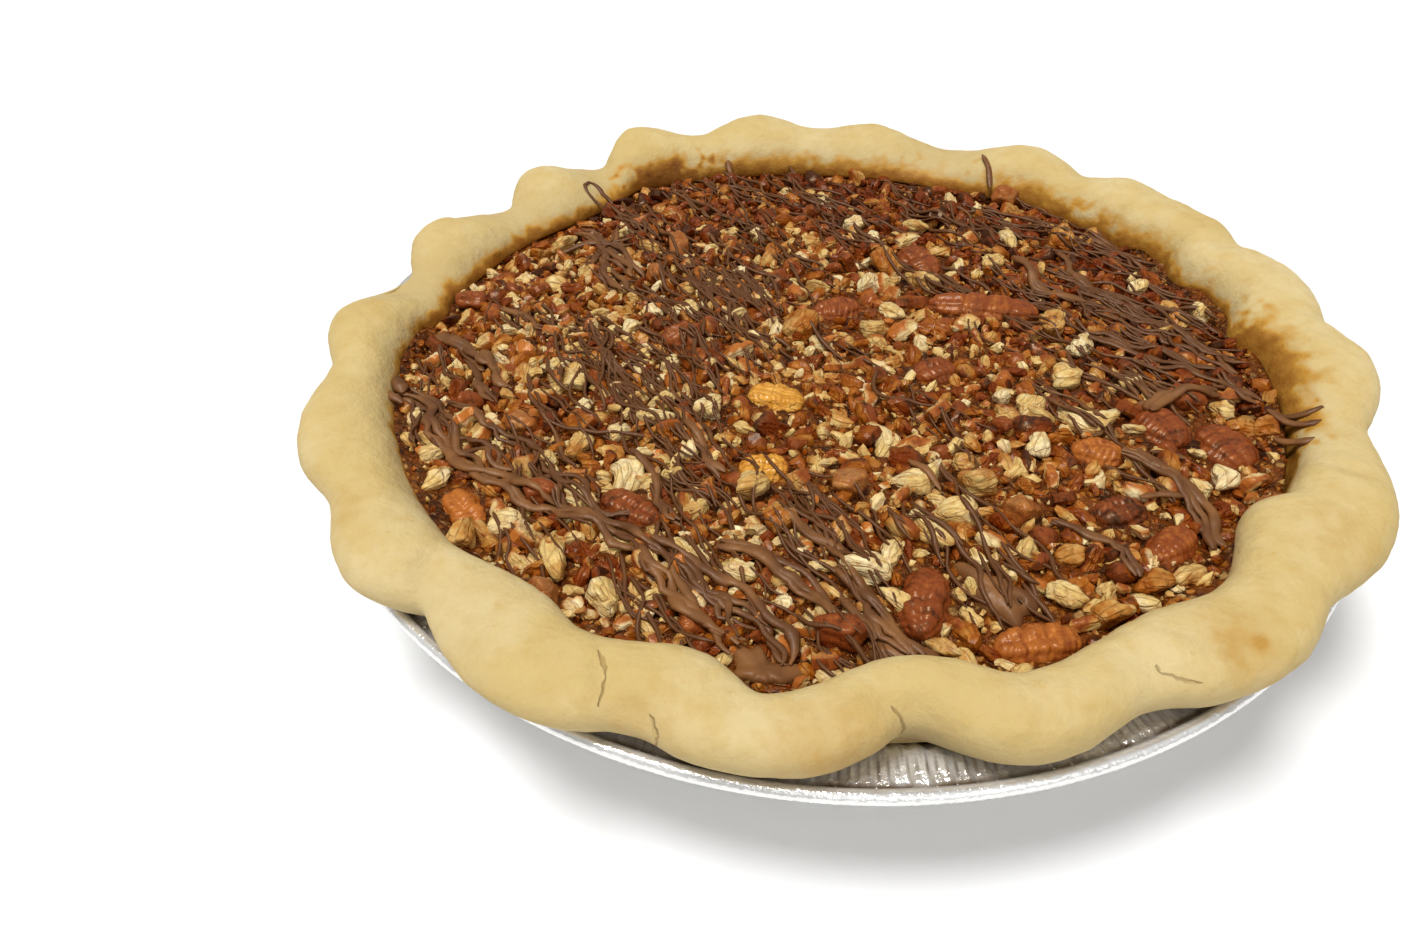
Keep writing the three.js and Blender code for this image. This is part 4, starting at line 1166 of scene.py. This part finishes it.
def run_nodes(host, tree, inputs):
    """Gives the host a geometry nodes modifier, and turns its result into the host's plain mesh."""
    modifier = host.modifiers.new("make", "NODES")
    modifier.node_group = tree
    sockets = {s.name: s.identifier for s in tree.interface.items_tree if s.in_out == "INPUT"}
    for name, value in inputs.items():
        modifier[sockets[name]] = value
    depsgraph = bpy.context.evaluated_depsgraph_get()
    mesh = bpy.data.meshes.new_from_object(host.evaluated_get(depsgraph))
    host.modifiers.clear()
    host.data = mesh
    return host


def points_of(made):
    """A mesh's points in millimetres."""
    places = np.empty(len(made.data.vertices) * 3, np.float32)
    made.data.vertices.foreach_get("co", places)
    return places.reshape(-1, 3) / MM


def pastry_side(angle):
    """The radius of the pastry's inner side at the height of the nuts, at each angle in degrees."""
    ropes = [rope_at(i, k / 10) for i in range(len(FLUTES)) for k in range(10)]
    turns = np.array([rope[0] for rope in ropes])
    inner = np.minimum(slope_foot(turns, np.array([rope[2] for rope in ropes])), crust_inner_r(FILLING_EDGE_Z))
    return np.interp(angle % 360, *zip(*sorted(zip(turns % 360, inner))), period=360)


def over(row, x, y, spare):
    """Where places lie over a large piece, or nearer to it than the spare."""
    px, py, length, width, turn = row[:5]
    u, v = along_across(turn, x - px, y - py)
    return (u / (0.5 * length + spare)) ** 2 + (v / (0.5 * width + spare)) ** 2 < 1


# Bare places, which chocolate fills: [x, y, length, width, turn]
BARE_PLACES = [[25, -81, 13, 9, -30], [4.5, -94.5, 11, 5, -12], [-20.5, -98, 12, 5, -6], [-96, -20, 8, 6, -50]]


def room_for_pieces(points, margin):
    """1 where chopped pieces may lie on the filling, 0 under the large ones and against the pastry."""
    x, y, z = np.asarray(points).T
    room = np.hypot(x, y) < pastry_side(np.degrees(np.arctan2(y, x))) - margin
    room &= (z > FILLING_EDGE_Z - 2) & (np.hypot(x, y) < crust_inner_r(FILLING_EDGE_Z) - 1)
    for row in [*PECANS.values(), *GLAZED_NUTS.values(), *BARE_PLACES]:
        room &= ~over(row, x, y, 0.4 * margin + 0.8)
    for row in STANDOUTS:
        room &= ~over(row, x, y, 0.4 * margin - 0.2)
    return room.astype(np.float32)


def joined(parts):
    """Several meshes, as points and faces, made one."""
    points, faces = [], []
    for part_points, part_faces in parts:
        start = sum(map(len, points))
        points.append(part_points)
        faces += [tuple(start + index for index in face) for face in part_faces]
    return np.vstack(points), faces


def duller(points):
    """How much less cream shows: most at the right and at the back."""
    right = smooth((points[:, 0] - 10) / 80) * smooth((points[:, 1] + 60) / 60)
    back = smooth((points[:, 1] - 30) / 50)
    return STEEPED * np.maximum(right, back)


chopped = chopped_shapes()
strew = scatter_tree()
chopped_nut = nut_material("chopped_pecan", 0.4, 0.12)
for name, (kinds, spacing, margin, tilt, lift, size, seed, steeped) in LAYERS.items():
    pile = bpy.data.collections.new(name + "_shapes")
    for kind in kinds:
        for shape in chopped[kind]:
            pile.objects.link(shape)
    layer = piece(name, bed_points, bed_faces, chopped_nut, {"room": room_for_pieces(bed_points, margin)})
    run_nodes(layer, strew, {
        "Pieces": pile, "Count": len(pile.objects), "Spacing": spacing * MM, "Tilt": math.radians(tilt),
        "Lowest": lift[0] * MM, "Highest": lift[1] * MM, "Smallest": size[0], "Largest": size[1], "Seed": seed,
        "Material": chopped_nut})
    places = points_of(layer)
    tones = np.empty(len(places), np.float32)
    layer.data.attributes["tone"].data.foreach_get("value", tones)
    layer.data.attributes["tone"].data.foreach_set("value", (tones - duller(places)).astype(np.float32))
    mark(layer, soaked=syrup_and_shade_at(places) + duller(places) + steeped)
    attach(layer, "root")
    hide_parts("filling")
    bpy.data.collections.remove(pile)
for shape in [shape for kind in chopped.values() for shape in kind]:
    bpy.data.objects.remove(shape)

draw = np.random.default_rng(4)
made_parts, made_own, made_skin, made_tone = [], [], [], []
for number, (x, y, length, width, turn, shape, look) in enumerate(STANDOUTS):
    flatness, cuts, ridge, bend, curl = STANDOUT_SHAPES[shape]
    length, width = length * STANDOUT_SIZE, width * STANDOUT_SIZE
    height = flatness * width
    points, own, faces, skin = broken_nut(draw, length, width, height, 4, cuts, ridge, bend, curl)
    z = bed_top(x, y) + 0.4 + STANDOUT_LIFT * height
    made_parts.append((laid(points, x, y, turn, z, draw.uniform(-STANDOUT_TILT, STANDOUT_TILT),
                            draw.uniform(-STANDOUT_ROLL, STANDOUT_ROLL)), faces))
    made_own.append(own + (number * 30, 60, 0))
    covered, tone = STANDOUT_LOOKS[look]
    made_skin.append(np.full(len(points), covered) if covered > 0.5 else skin * covered)
    made_tone.append(np.full(len(points), tone))
standout_points, standout_faces = joined(made_parts)
standouts = piece("chopped_standouts", standout_points, standout_faces, chopped_nut)
mark(standouts, own=np.vstack(made_own) * MM, skin=np.concatenate(made_skin), tone=np.concatenate(made_tone),
     soaked=syrup_and_shade_at(standout_points))
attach(standouts, "root")
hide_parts("filling")


# ---------------------------------------------------------------------------------------- the chocolate
# Melted milk chocolate, flicked across the pie from a fork with quick strokes: hundreds of hair-fine
# strands in loose sheaves, some thick ropes where strands ran together, and pools where strokes turned.
CHOCOLATE = (0.248, 0.102, 0.030, 1)
CHOCOLATE_DARK = (0.122, 0.044, 0.013, 1)
CHOCOLATE_GLOSS = (1.0, 0.85, 0.7, 1)
STROKE_HEADING = -62  # degrees
STROKE_FAN = 22  # how far the strokes turn from left to right
STROKE_WANDER = 9
SHEAVES = 165
SHEAF_STRANDS = (2, 6)
SHEAF_LENGTH = (10, 46)
STRAND_APART = 1.15
STRAND_WIDTH = (0.45, 1.05)
STRAND_STEP = 1.5
SHORTEST_STRAND = 3  # steps
STRAND_START_Z = 36.0
DROP_FROM_Z = 100.0  # a strand falls from here on what lies below, by up to the drop
DROP = 120.0
# Where the sheaves lie: [x, y, reach, share], most at the left and the back
SHEAF_FIELDS = [
    [-60, 10, 48, 1.3],
    [-78, -5, 28, 0.6],
    [-30, 60, 45, 1.2],
    [72, 16, 34, 1.3],
    [40, 60, 40, 1.1],
    [-55, -40, 36, 0.4],
    [0, -5, 60, 0.5],
    [-5, -75, 30, 0.4],
    [45, -45, 45, 0.12],
]
# Thick ropes of chocolate: [strands, distance apart, width, points that they pass over, x and y]
ROPES = [
    [3, 1.5, 1.5, (-102, -16), (-94, -21), (-87, -37), (-74, -48), (-62, -57), (-49, -63), (-43, -69), (-36, -80),
     (-32, -86), (-25, -93)],
    [2, 2.4, 1.3, (-95, -21), (-84, -33), (-72, -45), (-58, -55), (-47, -66), (-38, -73), (-31, -80), (-23, -90)],
    [2, 1.5, 1.2, (-90, -20), (-80, -29), (-67, -40), (-57, -52), (-46, -60)],
    [3, 1.4, 1.4, (-42, -68), (-34, -73), (-29, -79), (-25, -82), (-18, -91), (-16, -97)],
    [2, 1.2, 1.3, (-46, -40), (-42, -46), (-39, -55), (-36, -61)],
    [2, 1.0, 1.3, (-34, -30), (-32, -36), (-29, -44), (-26, -48)],
    [3, 1.0, 1.4, (-28, -67), (-20, -71), (-12, -79), (-7, -87)],
    [2, 1.0, 1.5, (-14, -61), (-10, -66), (-2, -71)],
    [2, 1.3, 1.4, (-5, -74), (0, -85), (5, -96)],
    [1, 1.0, 1.5, (-7, -68), (-3, -77), (1, -82)],
    [2, 1.0, 1.3, (-5, -82), (-2, -88), (0, -92)],
    [2, 1.2, 1.3, (-2, -78), (3, -88), (8, -96)],
    [2, 1.0, 1.8, (-98, 8), (-89, 0), (-83, -7)],
    [2, 1.2, 1.7, (-85, 1), (-80, -11), (-76, -15)],
    [2, 1.0, 1.4, (-89, -1), (-83, -14), (-79, -22)],
    [2, 1.1, 1.4, (40, -62), (44, -65), (46, -68), (50, -69), (52, -72), (52, -78)],
    [3, 1.0, 1.7, (60, -43), (64, -46), (67, -50), (69, -53), (71, -57), (71, -64), (71, -70)],
    [1, 1.0, 1.6, (60, -56), (69, -57)],
    [1, 1.0, 1.4, (67, -42), (74, -44)],
    [1, 1.0, 1.4, (13, -46), (18, -55)],
    [3, 1.2, 1.9, (70, -29), (74, -25), (82, -22), (89, -21)],
    [3, 1.5, 1.3, (-66, 60), (-58, 50), (-52, 40), (-48, 32)],
    [2, 1.2, 1.4, (-70, 50), (-62, 52), (-50, 52)],
    [2, 1.4, 1.2, (-54, 62), (-57, 50), (-62, 40)],
    [3, 1.3, 1.5, (-59, 48), (-57, 38), (-52, 25)],
    [2, 0.9, 1.6, (57, 40), (59, 27), (63, 21), (70, 17)],
    [2, 0.9, 1.3, (68, 47), (71, 39), (72, 31), (74, 21)],
    [2, 1.1, 1.1, (82, 56), (93, 33)],
    [4, 1.6, 1.1, (66, 4), (79, -6), (87, -10), (93, -17), (97, -26)],
    [4, 1.8, 1.1, (72, 14), (84, 6), (92, -2), (99, -12)],
    [1, 1.0, 1.2, (-39, 85), (-27, 67)],
    [2, 1.2, 1.4, (-83, 19), (-70, 8)],
    [1, 1.0, 2.4, (-104.3, -12.8), (-103, -15), (-101.3, -18)],
    [1, 1.0, 2.2, (-104, -19), (-102.5, -20.5), (-100, -22)],
    [1, 1.0, 0.9, (-57, 77), (-59.1, 78.8), (-60.9, 80.7), (-63.4, 83.4), (-65.3, 82.6), (-63.7, 77.8), (-59, 73)],
    [1, 1.0, 1.5, (-21.2, 100.6), (-21.2, 98.6), (-20.7, 95)],
    [1, 1.0, 1.4, (-1.6, 99.6), (-0.9, 98), (0.2, 94)],
    [1, 1.0, 1.2, (58.6, 93.4), (59.3, 88), (59.2, 84.5), (59.3, 80)],
    [1, 1.0, 1.3, (105.9, -33.9), (103.6, -34.4), (101.5, -33), (98, -29)],
    [1, 1.0, 1.3, (104.3, -37.8), (102.2, -37.9), (100, -35.5), (96, -31)],
    [1, 1.0, 2.0, (100.6, -43.3), (99.1, -43.7), (97.5, -42), (95, -38.5)],
]
# Pools: [x, y, half length, half width, turn, height, lobes as (direction in degrees, length, half spread)]
POOLS = [
    [24.6, -81.2, 4.8, 4.2, -20, 2.2, ((-15, 4.6, 20), (-72, 3.6, 22), (126, 6.4, 17), (60, 1.2, 20))],
    [4.5, -94.5, 5.6, 3.0, -12, 1.8, ((125, 4.0, 22), (-8, 3.0, 25), (95, 3.0, 14))],
    [-20.5, -98, 5.4, 3.0, -6, 1.6, ((130, 6.0, 16), (95, 4.0, 14), (8, 4.0, 18))],
    [-57, 50, 4.4, 3.2, -40, 1.5, ((20, 4.0, 13), (100, 4.0, 12), (-70, 6.0, 11), (200, 4.0, 13), (-20, 5.0, 9))],
    [-96, -20, 4.0, 3.2, -50, 1.6, ((120, 3.0, 20), (-50, 4.0, 18), (160, 2.5, 15))],
]
POOL_SIDES = 72
POOL_RINGS = 12
POOL_LIFT = 0.9
POOL_DEPTH = 1.0
POOL_PITS = [[28.0, -83.2, 0.9, 2.0]]  # a burst bubble: [x, y, radius, depth]


def flow(x, y, salt):
    """The direction of the strokes in radians: they fan from left to right."""
    fan = STROKE_FAN * smooth((x - 20) / 70) * smooth((y + 50) / 60)
    return math.radians(STROKE_HEADING + fan + STROKE_WANDER * noise.noise((x / 45, y / 45, salt)))


def stroke(x, y, length, salt, step=2.0):
    """One strand's way across the pie: it follows the stroke and trembles."""
    places = [(x, y)]
    for k in range(int(length / step)):
        angle = flow(x, y, 0.0) + 1.0 * noise.noise((k * 0.14, salt, 3.0)) + 0.8 * noise.noise((k * 0.42, salt, 9.0))
        x, y = x + step * math.cos(angle), y + step * math.sin(angle)
        places.append((x, y))
    return places


def smooth_way(points, step=2.0):
    """A smooth way through a few points, as even steps."""
    points = np.array(points, float)
    if len(points) < 3:
        points = np.insert(points, 1, points.mean(0) + (0.6, 0.6), axis=0)
    ends = np.vstack([2 * points[0] - points[1], points, 2 * points[-1] - points[-2]])
    way = []
    for a, b, c, d in zip(ends[:-3], ends[1:-2], ends[2:-1], ends[3:]):
        for t in np.linspace(0, 1, max(2, int(np.hypot(*(c - b)) / step)), endpoint=False):
            bend, twist = 2 * a - 5 * b + 4 * c - d, 3 * b - a - 3 * c + d
            way.append(0.5 * (2 * b + (c - a) * t + bend * t**2 + twist * t**3))
    return np.array([*way, points[-1]])


def sheaves():
    """Ways and widths of all the fine strands."""
    draw = np.random.default_rng(12)
    shares = np.array([field[3] for field in SHEAF_FIELDS])
    ways = []
    while len(ways) < SHEAVES * np.mean(SHEAF_STRANDS):
        x0, y0, reach, _ = SHEAF_FIELDS[draw.choice(len(SHEAF_FIELDS), p=shares / shares.sum())]
        turn, away = draw.uniform(0, 2 * math.pi), reach * math.sqrt(draw.uniform())
        x, y = x0 + away * math.cos(turn), y0 + away * math.sin(turn)
        length, salt = draw.uniform(*SHEAF_LENGTH), draw.uniform(0, 90)
        across = flow(x, y, 0.0) + math.pi / 2
        for k in range(draw.integers(*SHEAF_STRANDS) + 1):
            shift = (k + draw.uniform(-0.6, 0.6)) * STRAND_APART
            along = draw.uniform(-6, 6)
            start = (x + shift * math.cos(across) + along * math.sin(across),
                     y + shift * math.sin(across) - along * math.cos(across))
            way = stroke(*start, length * draw.uniform(0.4, 1.1), salt + 0.6 * k)
            ways.append((way, draw.uniform(*STRAND_WIDTH)))
    return ways


def ropes():
    draw = np.random.default_rng(5)
    ways = []
    for strands, apart, width, *points in ROPES:
        way = smooth_way(points)
        along = np.gradient(way, axis=0)
        along /= np.linalg.norm(along, axis=1, keepdims=True)
        side_way = np.stack([-along[:, 1], along[:, 0]], 1)
        steps = np.arange(len(way))
        for k in range(strands):
            sway = np.array([noise.noise((0.27 * s, 7.7 * k, width)) + 0.6 * noise.noise((0.7 * s, 3.1 * k, width))
                             for s in steps])
            shift = apart * (0.8 * (k - (strands - 1) / 2) + 1.8 * sway)
            ways.append((way + side_way * shift[:, None], width * draw.uniform(0.75, 1.15)))
    return ways


def held(ways, margin):
    """Cuts each way where it would leave the filling, or lie over a large pecan."""
    kept = []
    for way, width in ways:
        way = np.array(way)
        inside = np.hypot(*way.T) < pastry_side(np.degrees(np.arctan2(way[:, 1], way[:, 0]))) - margin
        for row in PECANS.values():
            inside &= ~over(row, *way.T, -1.0)
        stops = np.flatnonzero(np.diff(np.r_[0, inside, 0]))
        for start, stop in zip(stops[::2], stops[1::2]):
            if stop - start > SHORTEST_STRAND:
                kept.append((way[start:stop], width))
    return kept


def drape_tree():
    """Geometry nodes that let strands fall on what lies below, sagging a little between high places."""
    tree = bpy.data.node_groups.new("drape_strands", "GeometryNodeTree")
    for name, kind in (("Strands", "Geometry"), ("Bed", "Object"), ("Step", "Float"), ("Sides", "Int"),
                       ("Sag", "Int"), ("Flatness", "Vector"), ("Material", "Material")):
        tree.interface.new_socket(name, in_out="INPUT", socket_type="NodeSocket" + kind)
    tree.interface.new_socket("Strands", in_out="OUTPUT", socket_type="NodeSocketGeometry")
    given = node(tree, "NodeGroupInput").outputs

    def eased(value, times_over):
        ins = {"Value": value, "Iterations": times_over}
        return node(tree, "GeometryNodeBlurAttribute", {"data_type": "FLOAT"}, ins).outputs[0]

    curve = node(tree, "GeometryNodeMeshToCurve", ins={"Mesh": given["Strands"]}).outputs[0]
    curve = node(tree, "GeometryNodeResampleCurve", {"mode": "LENGTH"}, {
        "Curve": curve, "Length": given["Step"]}).outputs[0]
    width = node(tree, "GeometryNodeInputNamedAttribute", {"data_type": "FLOAT"}, {"Name": "width"}).outputs[0]
    at = node(tree, "GeometryNodeInputPosition").outputs[0]
    apart = node(tree, "ShaderNodeSeparateXYZ", ins={0: at}).outputs
    above = node(tree, "ShaderNodeCombineXYZ", ins={0: apart[0], 1: apart[1], 2: DROP_FROM_Z * MM}).outputs[0]
    bed = node(tree, "GeometryNodeObjectInfo", ins={"Object": given["Bed"]}).outputs["Geometry"]
    hit = node(tree, "GeometryNodeRaycast", ins={
        "Target Geometry": bed, "Source Position": above, "Ray Direction": (0, 0, -1),
        "Ray Length": DROP * MM}).outputs
    resting = plus(tree, height_of(tree, hit["Hit Position"]), times(tree, width, 0.42))
    held_up = total(tree, "MAXIMUM", resting, eased(resting, given["Sag"]))
    final = eased(held_up, 2)
    place = node(tree, "ShaderNodeCombineXYZ", ins={0: apart[0], 1: apart[1], 2: final}).outputs[0]
    curve = node(tree, "GeometryNodeSetPosition", ins={"Geometry": curve, "Position": place}).outputs[0]
    share = node(tree, "GeometryNodeSplineParameter").outputs["Factor"]
    from_end = total(tree, "MINIMUM", share, total(tree, "SUBTRACT", 1.0, share))
    taper = total(tree, "MINIMUM", 1.0, plus(tree, 0.35, times(tree, from_end, 9.0)))
    uneven = band(tree, speckle(tree, at, 240, 2), 0.3, 0.7, 0.28, 0.72)
    half = times(tree, width, uneven, taper)
    curve = node(tree, "GeometryNodeSetCurveNormal", {"mode": "Z_UP"}, {"Curve": curve}).outputs[0]
    ring = node(tree, "GeometryNodeCurvePrimitiveCircle", ins={"Resolution": given["Sides"], "Radius": 1.0}).outputs[0]
    ring = node(tree, "GeometryNodeTransform", ins={"Geometry": ring, "Scale": given["Flatness"]}).outputs[0]
    mesh = node(tree, "GeometryNodeCurveToMesh", ins={
        "Curve": curve, "Profile Curve": ring, "Scale": half, "Fill Caps": True}).outputs[0]
    real = node(tree, "GeometryNodeRealizeInstances", ins={"Geometry": mesh}).outputs[0]
    finished = node(tree, "GeometryNodeSetMaterial", ins={"Geometry": real, "Material": given["Material"]}).outputs[0]
    node(tree, "NodeGroupOutput", ins={"Strands": finished})
    return tree


def strands_mesh(name, ways):
    """Ways as chains of edges that the nodes turn into strands."""
    points, edges, widths = [], [], []
    for way, width in ways:
        start = len(points)
        points += [(x, y, STRAND_START_Z) for x, y in way]
        edges += [(k, k + 1) for k in range(start, len(points) - 1)]
        widths += [width] * len(way)
    mesh = bpy.data.meshes.new(name)
    mesh.from_pydata((np.array(points) * MM).tolist(), edges, [])
    made = bpy.data.objects.new(name, mesh)
    scene.collection.objects.link(made)
    mark(made, width=np.array(widths) * MM)
    return made


def pool_lump(x, y, long, wide, turn, high, lobes):
    """A puddle with lobes where strands run into it."""
    theta, _ = circle(POOL_SIDES)
    reach = long * wide / np.hypot(wide * np.cos(theta - math.radians(turn)), long * np.sin(theta - math.radians(turn)))
    for heading, length, spread in lobes:
        reach = reach + length * np.exp(-((from_angle(np.degrees(theta), heading) / spread) ** 2))
    reach = reach * (1 + 0.06 * np.sin(5 * theta + x) + 0.04 * np.sin(9 * theta + y))
    shares = np.sin(np.linspace(0, math.pi / 2, POOL_RINGS + 1))[1:, None]
    px, py = x + reach * np.cos(theta) * shares, y + reach * np.sin(theta) * shares
    dome = high * np.sqrt(np.maximum(1 - shares**2.6, 0))
    under = bed_top(px, py)
    flat = np.stack([px, py, 0 * px], 2).reshape(-1, 3)
    rough = lumps_on_lumps(flat, (0.30, 4.0, 31), (0.14, 1.6, 32)).reshape(px.shape)
    top = under + dome + (rough + POOL_LIFT) * np.sqrt(1 - 0.9 * shares**2)
    for hole_x, hole_y, radius, depth in POOL_PITS:
        top = top - depth * np.exp(-(np.hypot(px - hole_x, py - hole_y) / radius) ** 4)
    upper = np.stack([px, py, top], 2)
    lower = upper[::-1].copy()
    lower[..., 2] = (under - POOL_DEPTH)[::-1]
    centre_z = bed_top(x, y)
    low, peak = np.array([[x, y, centre_z - POOL_DEPTH]]), np.array([[x, y, centre_z + high + POOL_LIFT]])
    loops = [low.repeat(POOL_SIDES, 0), *lower, *upper[::-1], peak.repeat(POOL_SIDES, 0)]
    return np.stack(loops, 1)


def chocolate_material():
    material, tree, shader = new_material("milk_chocolate", **{
        "Specular IOR Level": 0.4, "Specular Tint": CHOCOLATE_GLOSS, "Coat Weight": 0.05, "Coat Roughness": 0.3})
    at = own_place(tree)
    # painted shade: the thinner a strand, the darker it is drawn
    thin_strand_shade = band(tree, marked(tree, "width"), 0.3 * MM, 1.6 * MM, -0.4, 0.0)  # the thin strands are darker
    bloom_and_thin_shade = plus(tree, speckle(tree, at, 130, 3), thin_strand_shade)
    grain = speckle(tree, at, 1500, 3, 0.6)
    finish(
        tree, shader, Base_Color=coats(tree, CHOCOLATE_DARK, (bloom_and_thin_shade, 0.35, 0.65, 1, CHOCOLATE)),
        Roughness=band(tree, grain, 0.3, 0.7, 0.38, 0.55), Normal=relief(tree, grain, 0.12, 0.6))
    return material


milk_chocolate = chocolate_material()
pools = piece("chocolate_pools", *joined([turned(pool_lump(*row)) for row in POOLS]), milk_chocolate)
mark(pools, width=2 * MM)
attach(pools, "root")
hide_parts("filling")

ground = bmesh.new()  # all that shows and isn't foil
for below in scene.objects:
    if below.type == "MESH" and not below.hide_render and below is not foil_pan:
        ground.from_mesh(below.data)
bed_mesh = bpy.data.meshes.new("strands_lie_on")
ground.to_mesh(bed_mesh)
ground.free()
bed = bpy.data.objects.new("strands_lie_on", bed_mesh)
drape = drape_tree()
for name, ways, sides, sag, flatness in (("chocolate_ropes", ropes(), 8, 4, (1.35, 0.75, 1)),
                                         ("chocolate_strands", held(sheaves(), 0.5), 5, 6, (1.1, 0.9, 1))):
    made = strands_mesh(name, ways)
    run_nodes(made, drape, {"Bed": bed, "Step": STRAND_STEP * MM, "Sides": sides, "Sag": sag, "Flatness": flatness,
                            "Material": milk_chocolate})
    made.data.shade_smooth()
    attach(made, "root")
    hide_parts("filling")
bpy.data.objects.remove(bed)
bpy.data.meshes.remove(bed_mesh)


# ---------------------------------------------------------------------------------------- floor, light, camera
# A plain white table in soft studio light: a lamp overhead at the left, a broad fill in front, a pale room.
FLOOR_HALF = 6.0
FLOOR_COLOUR = (0.95, 0.95, 0.945, 1)
FLOOR_HAZE = (0.9, 0.9, 0.9, 1)
TENT_COLOUR = (1.0, 0.99, 0.97, 1)
TENT_TOP = 0.42
TENT_HORIZON = 0.20
# Lamps: [name, place that it shines from, degrees across, strength]
LAMPS = [
    ["overhead_lamp", (-0.30, -0.05, 1.25), 22, 2.35],
    ["front_fill", (0.45, -1.0, 0.9), 50, 0.50],
]
CAMERA_PLACE = (-0.031167, -0.205779, 0.178221)
CAMERA_RIGHT = (0.99987721, -0.01050666, -0.01162652)
CAMERA_UP = (0.01567054, 0.67038974, 0.74184367)
CAMERA_AHEAD = (0.0, 0.74193477, -0.67047207)
CAMERA_LENS = 25.68
SENSOR_WIDTH = 36


def floor_material():
    material, tree, shader = new_material("white_table", **{"Roughness": 0.6})
    haze = speckle(tree, own_place(tree), 3, 2)
    finish(tree, shader, Base_Color=coats(tree, FLOOR_COLOUR, (haze, 0.3, 0.7, 0.02, FLOOR_HAZE)))
    return material


side = FLOOR_HALF / MM
table_points = [(-side, -side, 0), (side, -side, 0), (side, side, 0), (-side, side, 0)]
table = piece("white_table", table_points, [(0, 1, 2, 3)], floor_material(), soft=False)

world = bpy.data.worlds.new("light_tent")
world.use_nodes = True
world.node_tree.nodes.clear()
upward = height_of(world.node_tree, node(world.node_tree, "ShaderNodeTexCoord").outputs["Generated"])
glow = band(world.node_tree, upward, 0.0, 0.8, TENT_HORIZON, TENT_TOP)
tent = node(world.node_tree, "ShaderNodeBackground", ins={"Color": TENT_COLOUR, "Strength": glow})
node(world.node_tree, "ShaderNodeOutputWorld", ins={"Surface": tent.outputs[0]})
scene.world = world

for name, place, across, strength in LAMPS:
    lamp = bpy.data.lights.new(name, "SUN")
    lamp.angle = math.radians(across)
    lamp.energy = strength
    stand = bpy.data.objects.new(name, lamp)
    stand.location = place
    stand.rotation_euler = (-Vector(place)).to_track_quat("-Z", "Y").to_euler()
    scene.collection.objects.link(stand)

lens = bpy.data.cameras.new("camera")
lens.lens = CAMERA_LENS
lens.sensor_width = SENSOR_WIDTH
lens.sensor_fit = "HORIZONTAL"
lens.clip_start = 0.01
camera = bpy.data.objects.new("camera", lens)
turn = Matrix((CAMERA_RIGHT, CAMERA_UP, [-a for a in CAMERA_AHEAD])).transposed()
camera.matrix_world = Matrix.Translation(CAMERA_PLACE) @ turn.to_4x4()
scene.collection.objects.link(camera)
scene.camera = camera
scene.view_settings.view_transform = "Standard"
